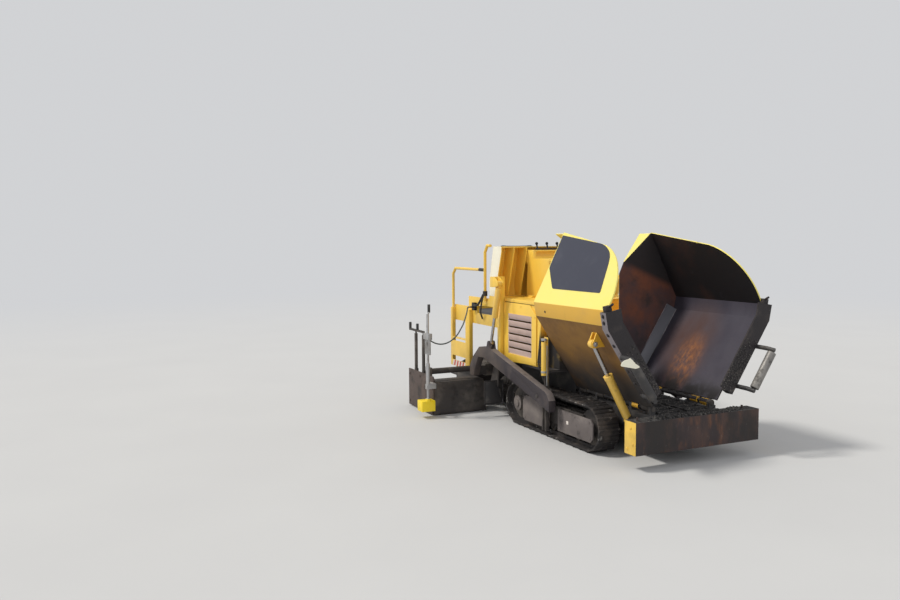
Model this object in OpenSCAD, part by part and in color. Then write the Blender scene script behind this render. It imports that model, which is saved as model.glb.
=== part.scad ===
// Small tracked asphalt paver with its hopper wings raised.
// Millimetres. +X forward, +Y to the machine's left, +Z up, ground at z = 0.

/* [Tracks] */
// Half width over the tracks
track_outer = 617; // [600:1:622]
// Width of a track shoe
shoe_w = 200; // [150:1:220]
// Height of the track loop
track_h = 410; // [380:1:415]
// Centre of the front track wheel
idler_x = 985; // [940:1:1000]
// Centre of the rear track wheel
sprocket_x = -185; // [-240:1:-150]
// Shoes in one loop
shoe_n = 35; // [28:1:40]

/* [Chassis] */
// Half width of the chassis box
frame_half = 335; // [315:1:340]
// Underside of the chassis box
belly_z = 150; // [120:1:190]
// Conveyor floor
floor_z = 375; // [365:1:378]
// Front face of the bumper
bumper_front = 1650; // [1640:1:1655]
// Depth of the bumper box
bumper_depth = 137; // [110:1:145]
// Top of the bumper box
bumper_top = 380; // [350:1:382]

/* [Hopper] */
// Hinge line from the middle plane
hinge_y = 300; // [290:1:306]
// Height of the hinge line
hinge_z = 420; // [415:1:430]
// Rear edge of a wing
wing_rear = 430; // [428:1:470]
// Front edge of a wing floor
wing_front = 1486; // [1460:1:1490]
// Slant length of a wing floor
wing_floor = 821; // [780:1:850]
// Slope of a raised wing floor
wing_slope = 56.6; // [54:0.1:58]
// Height of the upright wall along its face
wing_wall = 675; // [620:1:700]
// Radius of the wall's front curve
wall_curve = 500; // [440:1:520]
// Plate thickness of a wing
wing_t = 12; // [8:1:14]
// Depth of the front lip below the floor
lip_out = 60; // [40:1:66]
// Height of the front lip inside the wing
lip_in = 85; // [50:1:110]

/* [Push rollers] */
// Diameter of a push roller
roller_d = 70; // [60:1:76]
// Push roller axis
roller_x = 1704; // [1703:1:1712]

/* [Engine housing] */
// Half width of the housing
hood_half = 600; // [590:1:604]
// Rear of the housing
hood_rear = -535; // [-535:1:-500]
// Front of the housing
hood_front = 180; // [150:1:182]
// Top of the housing
hood_top = 1200; // [1190:1:1230]
// Louvre slats in a side panel
slat_n = 6; // [4:1:8]

/* [Platform] */
// Rear edge of the platform
deck_rear = -1595; // [-1600:1:-1560]
// Height of the platform deck
deck_z = 1000; // [990:1:1010]
// Top of the hand rail
rail_top = 1461; // [1400:1:1500]
// Hand rail pipe diameter
rail_d = 30; // [26:1:34]
// Top of the dash fairing
dash_top = 1700; // [1650:1:1740]

/* [Screed] */
// Gap from the tow guide to the hopper wing
guide_gap = 6; // [5:1:10]
// Height of the tow pin
tow_z = 380; // [370:1:384]
// Gap from the tow guide to the tow arm
arm_gap = 12; // [10:1:14]
// Thickness of a tow arm
arm_t = 66; // [50:1:68]
// Rear edge of the walkway
walkway_rear = -1740; // [-1790:1:-1700]
// Gap from the ladder's plane to the main screed
screed_gap = 15; // [12:1:30]
// Half width with the extensions out
screed_out = 1200; // [1180:1:1210]
// Height of an extension box
ext_h = 330; // [300:1:335]
// Guide tube diameter
tube_d = 60; // [50:1:62]
// Outer diameter of an auger
auger_d = 240; // [200:1:250]

/* [Cylinders] */
// Diameter of a hopper cylinder
wing_cyl_d = 70; // [56:1:72]
// Diameter of a screed lift cylinder
lift_cyl_d = 60; // [50:1:64]

/* [Fits] */
// Gap left at a seat
seat = 0.3; // [0.2:0.1:0.4]
// Radial play of a pin in its bore
play = 0.05; // [0.03:0.01:0.08]

/* [Hidden] */
$fn = 64;

yellow = [0.86, 0.62, 0.06];
dark_steel = [0.13, 0.13, 0.14];
dusty = [0.2, 0.18, 0.17];
bright_rod = [0.75, 0.76, 0.78];
hopper_steel = [0.24, 0.25, 0.29];

bumper_x0 = bumper_front - bumper_depth;
frame_rear = -560;
bulk_x = wing_rear - 25;
tow_x = wing_rear - 29 - guide_gap;
ladder_t = 40;
post_t = 50;
// Plane of the tow guides, outside the tracks and the housing's feet
guide_y = max(track_outer + 6, hood_half + 23);
arm_in = guide_y + 32 + arm_gap;
post_out = hood_half + post_t;
screed_half = hood_half - screed_gap;
track_r = track_h / 2;
track_in = track_outer - shoe_w;
track_mid = track_outer - shoe_w / 2;
shoe_t = 24;
link_t = 32;
link_w = 90;
wheel_r = track_r - shoe_t - link_t - seat;
loop_len = 2 * (idler_x - sprocket_x) + 2 * PI * track_r;
hinge_r = 15;
knuckle_r = 26;
// Wing profile, from the hinge line outwards and up
chamfer_len = 117;
chamfer_slope = 79.2;
wall_slope = 116.9;
p0 = [hinge_y, hinge_z];
p1 = p0 + wing_floor * [cos(wing_slope), sin(wing_slope)];
p2 = p1 + chamfer_len * [cos(chamfer_slope), sin(chamfer_slope)];
p3 = p2 + wing_wall * [cos(wall_slope), sin(wall_slope)];
// Hopper cylinder
cyl_x = 1250;
cyl_foot = [frame_half + 45, 300];
head_s = 674;
head_n = 73;
cyl_head = p0 + head_s * unit(p1 - p0) - head_n * left_of(p0, p1);
cyl_vec = cyl_head - cyl_foot;
cyl_len = norm(cyl_vec);
cyl_angle = atan2(cyl_vec[1], cyl_vec[0]);
cyl_pin = 14;
// Room for the drift of the opened pivot at a rod's eye
eye_play = 7;
// Screed lift cylinder
lift_y = arm_in + arm_t / 2;
post_x = -500;
post_w = 60;
// Rear edge of the service lids, in front of the posts
lid_x = post_x + post_w + 10;
lift_top = [post_x + 130, hood_top + 145];
lift_foot = [-540, tow_z + 365];
lift_vec = lift_foot - lift_top;
lift_len = norm(lift_vec);
lift_angle = atan2(lift_vec[1], lift_vec[0]);
lift_pin = 12;
// Underside of the seat cushion
seat_z = deck_z + 325;
// Extension guide tubes, one in front of the other
tube_z = 430;
tube_x = [["right", -1000], ["left", -1110]];
ext_in = screed_half + 15;
auger_x = -690;
auger_z = 260;
// Inner face of the augers' outer bearing plates
plate_y = hood_half - 10;
// The left end plate stands out as far as the sensor does on the right
out_left = screed_out + 150;
// Sensor mast outside the right end plate
mast_x = -780;
mast_y = -(screed_out + 80);
cable_r = 7;
boss_y = -hood_half - 61;
boss_at = [-1082, 1065];
cable_end_y = boss_y - seat;
cable_route = [[mast_x - 60, mast_y, 830], [mast_x - 88, mast_y + 8, 822], [mast_x - 108, mast_y + 45, 787],
    [mast_x - 120, mast_y + 100, 747], [mast_x - 123, mast_y + 150, 725], [mast_x - 125, mast_y + 200, 716],
    [mast_x - 129, mast_y + 250, 720], [mast_x - 135, mast_y + 300, 735], [mast_x - 146, mast_y + 350, 762],
    [mast_x - 160, mast_y + 400, 800], [mast_x - 177, mast_y + 440, 845], [mast_x - 195, mast_y + 480, 895],
    [mast_x - 208, mast_y + 507, 945], [mast_x - 222, cable_end_y - 88, 993],
    [mast_x - 244, cable_end_y - 67, 1032], [mast_x - 274, cable_end_y - 48, 1056],
    [boss_at[0] + 7, cable_end_y - 32, boss_at[1] - 1],
    [boss_at[0], cable_end_y - 16, boss_at[1]], [boss_at[0], cable_end_y, boss_at[1]]];

function unit(v) = v / norm(v);
function left_of(a, b) = [-(b[1] - a[1]), b[0] - a[0]] / norm(b - a);
function mitre(a, b, c, t) =
    let (m = left_of(a, b), n = left_of(b, c))
    b + t * (m + n) / (1 + m * n);
// Point on the track loop at length s and height h above the wheel centres
function loop_at(s, h) =
    let (len = idler_x - sprocket_x, arc = PI * track_r, u = s - loop_len * floor(s / loop_len))
    let (a = (u - len) / arc * 180, b = (u - 2 * len - arc) / arc * 180)
    u < len ? [sprocket_x + u, track_r - h] :
    u < len + arc ? [idler_x + h * sin(a), track_r - h * cos(a)] :
    u < 2 * len + arc ? [idler_x - (u - len - arc), track_r + h] :
    [sprocket_x - h * sin(b), track_r + h * cos(b)];

// Puts a part made for the left on the side asked for
module on_side(side) {
    mirror([0, side == "right" ? 1 : 0, 0]) children();
}

// Extrudes an X-Z outline across Y from y0 to y1
module across(y0, y1) {
    translate([0, y1, 0]) rotate([90, 0, 0]) linear_extrude(y1 - y0) children();
}

// Extrudes a Y-Z outline along X from x0 to x1
module along(x0, x1) {
    translate([x0, 0, 0]) rotate([90, 0, 90]) linear_extrude(x1 - x0) children();
}

module box(a, b) {
    translate(a) cube(b - a);
}

module rod_y(x, z, y0, y1, r) {
    translate([x, y1, z]) rotate([90, 0, 0]) cylinder(h = y1 - y0, r = r);
}

module rod_x(y, z, x0, x1, r) {
    translate([x0, y, z]) rotate([0, 90, 0]) cylinder(h = x1 - x0, r = r);
}

// Round pipe through a list of points, with a full ball at each bend
module pipe(pts, r) {
    n = len(pts);
    for (i = [0:n - 2]) {
        v = pts[i + 1] - pts[i];
        translate(pts[i]) rotate([0, acos(v[2] / norm(v)), atan2(v[1], v[0])])
            cylinder(h = norm(v), r = r);
    }
    if (n > 2) for (i = [1:n - 2]) {
        translate(pts[i]) sphere(r = r + 0.6);
    }
}

module main_frame() {
    color(dark_steel) {
        box([frame_rear, -frame_half, belly_z], [bumper_x0 - seat, frame_half, floor_z]);
        // Tunnel walls and the deck that carries the engine
        for (side = ["left", "right"]) on_side(side) {
            box([frame_rear, frame_half - 12, floor_z - 2], [bulk_x, frame_half, 581]);
            // Lugs that hold the wing hinge rod
            for (x = [wing_rear + 14, 700, 1180, wing_front - 66]) {
                along(x, x + 34) difference() {
                    union() {
                        translate([hinge_y, hinge_z]) circle(r = knuckle_r);
                        translate([hinge_y - knuckle_r, floor_z - 2])
                            square([2 * knuckle_r, hinge_z - floor_z + 2]);
                    }
                }
            }
            rod_x(hinge_y, hinge_z, wing_rear + 14, wing_front - 32, hinge_r - play);
            // Ears at the foot of the hopper cylinder
            for (x = [cyl_x - 42, cyl_x + 26]) {
                along(x, x + 16) {
                    translate(cyl_foot) circle(r = 34);
                    translate([frame_half - 2, cyl_foot[1] - 34]) square([cyl_foot[0] - frame_half + 2, 68]);
                }
            }
            rod_x(cyl_foot[0], cyl_foot[1], cyl_x - 42, cyl_x + 42, cyl_pin - play);
            // Carriers that pass through the track loop
            for (x = [sprocket_x + 240, idler_x - 330]) {
                box([x, frame_half - 2, 165], [x + 90, track_mid - 60 - seat, 275]);
            }
        }
        box([frame_rear, -hood_half, 580], [bulk_x, hood_half, 600]);
        box([frame_rear, -hood_half, 599], [hood_rear - seat, hood_half, deck_z - 20 - seat]);
    }
    color(yellow) {
        box([bulk_x - 1, -frame_half + 20, 581], [bulk_x + 12, frame_half - 20, hood_top - 200]);
    }
}

module front_bumper() {
    color([0.25, 0.17, 0.12]) {
        box([bumper_x0, -track_outer, 125], [bumper_front, track_outer, bumper_top]);
        // Pegs on top near the ends
        for (y = [-560, 490]) {
            translate([bumper_front - 60, y, bumper_top - 1]) cylinder(h = 31, r = 9);
            box([bumper_front - 90, y - 40, bumper_top - 1], [bumper_front - 30, y + 40, bumper_top + 4]);
        }
    }
}

module conveyor_chains() {
    color(dusty) {
        x0 = frame_rear + 20;
        x1 = bumper_x0 - 40;
        for (y = [-140, 140]) {
            for (dy = [-118, 92]) {
                box([x0, y + dy, floor_z + seat], [x1, y + dy + 26, floor_z + 16]);
            }
            for (i = [0:17]) {
                x = x0 + 30 + i * (x1 - x0 - 75) / 17;
                box([x, y - 119, floor_z + seat], [x + 15, y + 119, floor_z + 24]);
            }
        }
    }
}

// Long round outline of radius r about both track wheels
module stadium(r) {
    translate([sprocket_x, track_r]) circle(r = r);
    translate([idler_x, track_r]) circle(r = r);
    translate([sprocket_x, track_r - r]) square([idler_x - sprocket_x, 2 * r]);
}

// Closed loop: shoes with one cleat each, and the link chain inside them
module track_loop(side) {
    pitch = loop_len / shoe_n;
    shoe = [[0.02, -7], [0.1, 0], [0.4, 0], [0.46, 1], [0.56, 1], [0.62, 0], [0.9, 0], [0.98, -7]];
    base = track_r - 10;
    outer = [for (i = [0:shoe_n - 1]) for (p = shoe)
        loop_at((i + p[0]) * pitch, p[1] == 1 ? track_r : base + p[1])];
    color(dark_steel) on_side(side) {
        across(track_in, track_outer) difference() {
            polygon(outer);
            stadium(track_r - shoe_t);
        }
        across(track_mid - link_w / 2, track_mid + link_w / 2) difference() {
            stadium(track_r - shoe_t + 2);
            stadium(track_r - shoe_t - link_t);
        }
    }
}

module track_right() {
    track_loop("right");
}

module track_left() {
    track_loop("left");
}

// Side plates, wheels and rollers inside the loop
module track_carrier(side) {
    floor_in = track_r - wheel_r;
    color(dusty) on_side(side) {
        x_a = sprocket_x;
        x_b = idler_x;
        difference() {
            box([x_a + 60, track_mid - 60, 130], [x_b - 100, track_mid + 60, 290]);
            for (x = [x_a + 150, (x_a + x_b) / 2 - 60, x_b - 390]) {
                box([x - 10, track_mid - 30, 120], [x + 200, track_mid + 30, 300]);
            }
        }
        // Cover plates flush with the shoes
        across(track_outer - 18, track_outer - 5)
            polygon([[x_a + 125, 100], [x_a + 160, 72], [x_a + 560, 72], [x_a + 585, 100],
                [x_a + 585, 310], [x_a + 180, 310], [x_a + 125, 255]]);
        across(track_outer - 18, track_outer - 5)
            polygon([[x_b - 435, 92], [x_b + 60, 92], [x_b + 95, 130], [x_b + 95, 250],
                [x_b + 60, 285], [x_b - 435, 285]]);
        for (x = [x_a + 200, x_a + 480, x_b - 380, x_b - 120]) {
            box([x, track_mid + 50, 150], [x + 70, track_outer - 17, 270]);
        }
        // Road rollers
        for (i = [0:4]) {
            x = x_a + 190 + i * (x_b - x_a - 380) / 4;
            rod_y(x, floor_in + 46, track_mid - 42, track_mid + 42, 46);
            rod_y(x, floor_in + 46, track_mid - 60, track_mid + 60, 16);
            box([x - 22, track_mid - 60, floor_in + 40], [x + 22, track_mid - 46, 140]);
            box([x - 22, track_mid + 46, floor_in + 40], [x + 22, track_mid + 60, 140]);
        }
        // Front wheel and rear wheel with their hubs
        for (x = [x_a, x_b]) {
            rod_y(x, track_r, track_mid - 34, track_mid + 34, wheel_r);
            rod_y(x, track_r, track_mid - 62, track_outer - 16, 70);
            rod_y(x, track_r, track_mid - 72, track_outer - 4, 34);
        }
        box([x_a, track_mid - 60, 165], [x_a + 80, track_mid - 36, 245]);
        box([x_a, track_mid + 36, 165], [x_a + 80, track_mid + 60, 245]);
        box([x_b - 120, track_mid - 60, 165], [x_b, track_mid - 36, 245]);
        box([x_b - 120, track_mid + 36, 165], [x_b, track_mid + 60, 245]);
    }
}

module track_frame_right() {
    track_carrier("right");
}

module track_frame_left() {
    track_carrier("left");
}

module engine_block() {
    color(dusty) {
        box([hood_rear + 90, -330, 600 + seat], [hood_front - 70, 330, 1040]);
    }
}

// Hollow housing with two side windows and two lids' mouths
module engine_housing() {
    color(yellow) {
        wall = 8;
        top = hood_top - 12;
        difference() {
            box([hood_rear, -hood_half, 600], [hood_front, hood_half, top]);
            box([hood_rear + wall, -hood_half + wall, 590],
                [hood_front - wall, hood_half - wall, top - wall]);
            for (side = ["left", "right"]) on_side(side) {
                box([hood_rear + 140, hood_half - 20, 640], [hood_front - 60, hood_half + 20, 1090]);
                box([lid_x + 15, 345, top - 30], [hood_front - 50, hood_half - 40, top + 30]);
            }
        }
        box([hood_rear, -325, top - 1], [hood_front, 325, hood_top]);
        // Lower tank cover in front
        across(-500, 500)
            polygon([[hood_front - 1, 600 + seat], [bulk_x - 5, 600 + seat], [bulk_x - 5, hood_top - 220],
                [bulk_x - 75, hood_top - 140], [hood_front - 1, hood_top - 140]]);
        for (side = ["left", "right"]) on_side(side) {
            across(hood_half - 40, hood_half)
                polygon([[hood_front - 1, 640], [hood_front + 60, 640], [hood_front + 60, hood_top - 160],
                    [hood_front - 1, hood_top - 100]]);
            // Pins that carry the service lid
            for (x = [lid_x + 15, hood_front - 200]) {
                for (dx = [-14, 62]) {
                    along(x + dx, x + dx + 12) {
                        translate([334, hood_top + 9]) circle(r = 9);
                        translate([310, hood_top - 1]) square([24, 10]);
                    }
                }
                rod_x(334, hood_top + 9, x - 14, x + 74, 5 - play);
            }
        }
    }
}

module lid(side) {
    color(yellow) on_side(side) {
        z0 = hood_top - 12 + seat;
        difference() {
            union() {
                box([lid_x, 345, z0], [hood_front - 12, hood_half, hood_top]);
                for (x = [lid_x + 15, hood_front - 200]) {
                    along(x, x + 60) {
                        translate([334, hood_top + 9]) circle(r = 9);
                        polygon([[334, hood_top + 9], [360, hood_top + 2], [360, hood_top - 1],
                            [340, hood_top + 1]]);
                    }
                }
                along(lid_x, hood_front - 12)
                    polygon([[hood_half, hood_top], [hood_half, z0], [hood_half + 6, z0 - 20],
                        [hood_half + 10, z0 - 20], [hood_half + 6, hood_top]]);
            }
            for (x = [lid_x + 15, hood_front - 200]) {
                rod_x(334, hood_top + 9, x - 1, x + 61, 5);
            }
        }
    }
}

module hood_lid_right() {
    lid("right");
}

module hood_lid_left() {
    lid("left");
}

// Louvred side panel
module grille(side) {
    x0 = post_x + post_w + 5;
    x1 = hood_front - 3;
    wx0 = x0 + 95;
    wx1 = x1 - 85;
    wz0 = 660;
    wz1 = hood_top - 135;
    top = hood_top - 38;
    t = 12;
    y0 = hood_half + seat;
    color(yellow) on_side(side) {
        across(y0, y0 + t) difference() {
            polygon([[x0, 583], [x1, 612], [x1, top - 90], [x1 - 115, top], [x0, top]]);
            translate([wx0, wz0]) square([wx1 - wx0, wz1 - wz0]);
        }
        pitch = (wz1 - wz0) / slat_n;
        for (i = [0:slat_n - 1]) {
            translate([wx0 - 4, y0 - 3, wz0 + (i + 0.1) * pitch])
                rotate([-15, 0, 0]) cube([wx1 - wx0 + 8, 5, pitch * 0.84]);
        }
        for (z = [wz0, wz1 - 8]) {
            box([wx0 - 8, y0 - 6, z], [wx1 + 8, y0 + t, z + 8]);
        }
    }
}

module grille_right() {
    grille("right");
}

module grille_left() {
    grille("left");
}

// Slanted shell with open bays towards the front, leaning forward at its top
module dash_fairing() {
    x0 = -760;
    z0 = hood_top + seat;
    color(yellow) {
        across(-hood_half, hood_half)
            polygon([[x0, z0], [x0 + 12, z0], [x0 - 3, hood_top + 121], [x0 + 89, dash_top - 1],
                [x0 + 77, dash_top - 1], [x0 - 15, hood_top + 120]]);
        for (y = [-hood_half, -460, -316, 304, 448, hood_half - 12]) {
            across(y, y + 12)
                polygon([[x0 + 1, z0], [x0 + 120, z0], [x0 + 138, hood_top + 90], [x0 + 246, dash_top - 50],
                    [x0 + 246, dash_top - 1], [x0 + 78, dash_top - 1], [x0 - 14, hood_top + 120]]);
        }
        // Top plate, narrow in front of the levers
        box([x0 + 77, -hood_half, dash_top - 12], [x0 + 140, hood_half, dash_top]);
        for (side = ["left", "right"]) on_side(side) {
            box([x0 + 139, 304, dash_top - 12], [x0 + 246, hood_half, dash_top]);
        }
    }
}

module console() {
    x0 = -590;
    z0 = hood_top + seat;
    color(yellow) {
        difference() {
            across(-300, 300)
                polygon([[x0 + 60, z0], [-90, z0], [-90, z0 + 100], [-110, z0 + 360],
                    [-130, z0 + 380], [x0 + 190, z0 + 380], [x0 + 190, z0 + 465], [x0, z0 + 465],
                    [x0, z0 + 400], [x0 + 80, z0 + 315], [x0 + 60, z0 + 100]]);
            box([x0 + 150, -270, z0 + 400], [x0 + 200, 270, z0 + 450]);
        }
    }
    color(dark_steel) {
        for (y = [-180, -60, 60, 180]) {
            pipe([[x0 + 70, y, z0 + 463], [x0 + 50, y, z0 + 520]], 8);
            translate([x0 + 48, y, z0 + 528]) sphere(r = 15);
        }
        box([x0 + 110, -230, z0 + 464], [x0 + 180, 230, z0 + 480]);
    }
}

module platform() {
    color(yellow) {
        box([deck_rear, -hood_half, deck_z - 20], [-680, hood_half, deck_z]);
        box([-680, -hood_half, deck_z - 20], [frame_rear - seat, hood_half, deck_z]);
        for (side = ["left", "right"]) on_side(side) {
            across(hood_half - 20, hood_half) difference() {
                polygon([[deck_rear, deck_z - 110], [frame_rear - seat, deck_z - 110],
                    [frame_rear - seat, hood_top], [-770, hood_top], [-770, hood_top - 30],
                    [-1245, hood_top - 30], [-1245, deck_z + 60], [deck_rear, deck_z + 60]]);
                translate([-1040, deck_z + 5]) square([380, 85]);
            }
            box([deck_rear, 260, deck_z - 110], [frame_rear - seat, 310, deck_z - 19]);
        }
        // Cross beam under the fairing
        box([-770, -hood_half + 60, deck_z - 1], [-612, hood_half - 60, hood_top]);
        box([-700, -hood_half + 19, hood_top - 60], [-612, hood_half - 19, hood_top]);
        box([deck_rear, -hood_half, deck_z - 110], [deck_rear + 20, hood_half, deck_z + 30]);
    }
    color(dark_steel) {
        // Junction box with the cable's boss
        box([boss_at[0] - 33, -hood_half - 30, boss_at[1] - 35],
            [boss_at[0] + 32, -hood_half + 1, boss_at[1] + 45]);
        rod_y(boss_at[0], boss_at[1], boss_y, -hood_half - 29, 9);
    }
}

// Two stiles with steps and panels, and the hand rail that carries on from the rear one
module ladder(side) {
    y0 = hood_half + seat;
    y1 = y0 + ladder_t;
    ym = y0 + rail_d / 2 + 1.5;
    xr = deck_rear - 5;
    top = deck_z + 30;
    xf = -1250;
    tall_x = -830;
    color(yellow) on_side(side) {
        box([xr - 20, y0, 385], [xr + 20, y1, top]);
        box([xf, y0, 385], [xf + 100, y1, top]);
        for (z = [500, 690]) {
            box([xr + 19, y0, z], [xf + 1, y1, z + 14]);
        }
        box([xr + 19, y1 - 6, 385], [xf + 1, y1, 450]);
        box([xr + 19, y1 - 6, 513], [xf + 1, y1, 665]);
        pipe([[xr, ym, deck_z], [xr, ym, rail_top - 60], [xr + 60, ym, rail_top], [tall_x, ym, rail_top]],
            rail_d / 2);
        pipe([[tall_x, ym, hood_top - 60], [tall_x, ym, dash_top - 60], [tall_x + 50, ym, dash_top + 8],
            [tall_x + 120, ym, dash_top + 8]], rail_d / 2);
    }
}

module ladder_right() {
    ladder("right");
}

module ladder_left() {
    ladder("left");
}

module seat_base() {
    color(dark_steel) {
        box([-1210, -150, deck_z + seat], [-990, 150, deck_z + 14]);
        box([-1180, -110, deck_z + 13], [-1020, 110, seat_z - 25]);
        box([-1290, -200, seat_z - 26], [-920, 200, seat_z]);
        across(-190, 190)
            polygon([[-1290, seat_z - 1], [-1272, seat_z - 1], [-1310, seat_z + 365], [-1328, seat_z + 365],
                [-1306, seat_z + 75]]);
    }
}

module seat_cushion() {
    color([0.08, 0.08, 0.09]) {
        across(-215, 215)
            polygon([[-1240, seat_z + seat], [-905, seat_z + seat], [-895, seat_z + 20], [-895, seat_z + 70],
                [-915, seat_z + 85], [-1225, seat_z + 75], [-1240, seat_z + 60]]);
    }
}

module seat_back() {
    color([0.08, 0.08, 0.09]) {
        across(-205, 205)
            polygon([[-1281 + seat, seat_z + 87], [-1225, seat_z + 87], [-1205, seat_z + 115],
                [-1235, seat_z + 385], [-1250, seat_z + 400], [-1313.7 + seat, seat_z + 400]]);
    }
}

// Posts beside the housing with the two-ear heads of the lift cylinders
module lift_posts() {
    x1 = post_x + post_w;
    z = lift_top[1];
    color(yellow) for (side = ["left", "right"]) on_side(side) {
        difference() {
            union() {
                box([post_x, hood_half + seat, 585], [x1, post_out, z + 62]);
                box([post_x, post_out - 1, z - 38], [x1, lift_y + 32, z + 62]);
                for (y = [lift_y - 32, lift_y + 20]) {
                    across(y, y + 12) {
                        polygon([[x1 - 5, z - 38], [x1 - 5, z + 62], [x1 + 30, z + 56],
                            [lift_top[0] + 14, z + 26], [lift_top[0], z - 29]]);
                        translate(lift_top) circle(r = 30);
                    }
                }
                rod_y(lift_top[0], z, lift_y - 32, lift_y + 32, lift_pin - play);
            }
            for (hole_z = [hood_top - 70, hood_top + 25]) {
                rod_y(post_x + post_w / 2, hole_z, hood_half - 10, post_out + 10, 12);
            }
        }
    }
}

// Upright slots for the tow pins, with the levelling cylinder above each
module tow_guides() {
    for (side = ["left", "right"]) on_side(side) {
        color(dusty) {
            y = guide_y;
            box([tow_x - 34, y, 62], [tow_x + 29, y + 12, 900]);
            box([tow_x - 34, hood_half + seat, 582], [tow_x + 20, y + 1, 600]);
            for (x = [tow_x - 34, tow_x + 15]) {
                box([x, y + 11, 62], [x + 14, y + 36, 470]);
            }
            box([tow_x - 19, y + 12, tow_z - 42], [tow_x + 14, y + 38, tow_z + 42]);
            rod_y(tow_x, tow_z, y + 37, arm_in + arm_t + 4, 18 - play);
        }
        color(yellow) {
            y = guide_y;
            translate([tow_x, y + 36, 560]) cylinder(h = 300, r = 25);
            box([tow_x - 20, y + 10, 580], [tow_x + 20, y + 30, 640]);
            box([tow_x - 20, y + 10, 790], [tow_x + 20, y + 30, 850]);
        }
        color(bright_rod) {
            translate([tow_x, guide_y + 24, tow_z + 40]) cylinder(h = 525 - tow_z, r = 10);
        }
    }
}

module auger_frame() {
    color(dusty) {
        difference() {
            union() {
                box([auger_x - 70, -40, 140], [frame_rear - seat, 40, 372]);
                for (side = ["left", "right"]) on_side(side) {
                    across(plate_y, plate_y + 14) polygon([[auger_x - 50, 200], [auger_x + 10, 180],
                        [-575, 320], [-575, 560], [-640, 560], [auger_x - 50, 330]]);
                    box([-630, frame_half - 40, 500], [frame_rear - seat, plate_y + 14, 560]);
                }
            }
            rod_y(auger_x, auger_z, -plate_y - 110, plate_y + 110, 22);
        }
    }
}

// Helical flight on a shaft that runs in the frame's bearings
module auger(side) {
    color(dusty) on_side(side) {
        rod_y(auger_x, auger_z, 10, plate_y + 13, 22 - play);
        rod_y(auger_x, auger_z, 41, plate_y - 1, 32);
        translate([auger_x, plate_y - 5, auger_z]) rotate([90, 0, 0])
            linear_extrude(height = plate_y - 55, twist = 360 * 2.5, slices = 36, segments = 6)
                polygon([[20, -4], [auger_d / 2, -18], [auger_d / 2 + 1.5, 0], [auger_d / 2, 18], [20, 4]]);
    }
}

module auger_right() {
    auger("right");
}

module auger_left() {
    auger("left");
}

// Line along the wing's floor and chamfer at distance n inside it
function lip_edge(n) = [p0 + 130 * unit(p1 - p0) + n * left_of(p0, p1), mitre(p0, p1, p2, n),
    p2 + 4 * unit(p2 - p1) + n * left_of(p1, p2)];

// Local plane of the wing's floor at the hinge: x along the machine, y up the slope
module floor_plane() {
    translate([0, hinge_y, hinge_z]) rotate([wing_slope, 0, 0]) children();
}

module wall_plane() {
    translate([0, p2[0], p2[1]]) rotate([wall_slope, 0, 0]) children();
}

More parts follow.
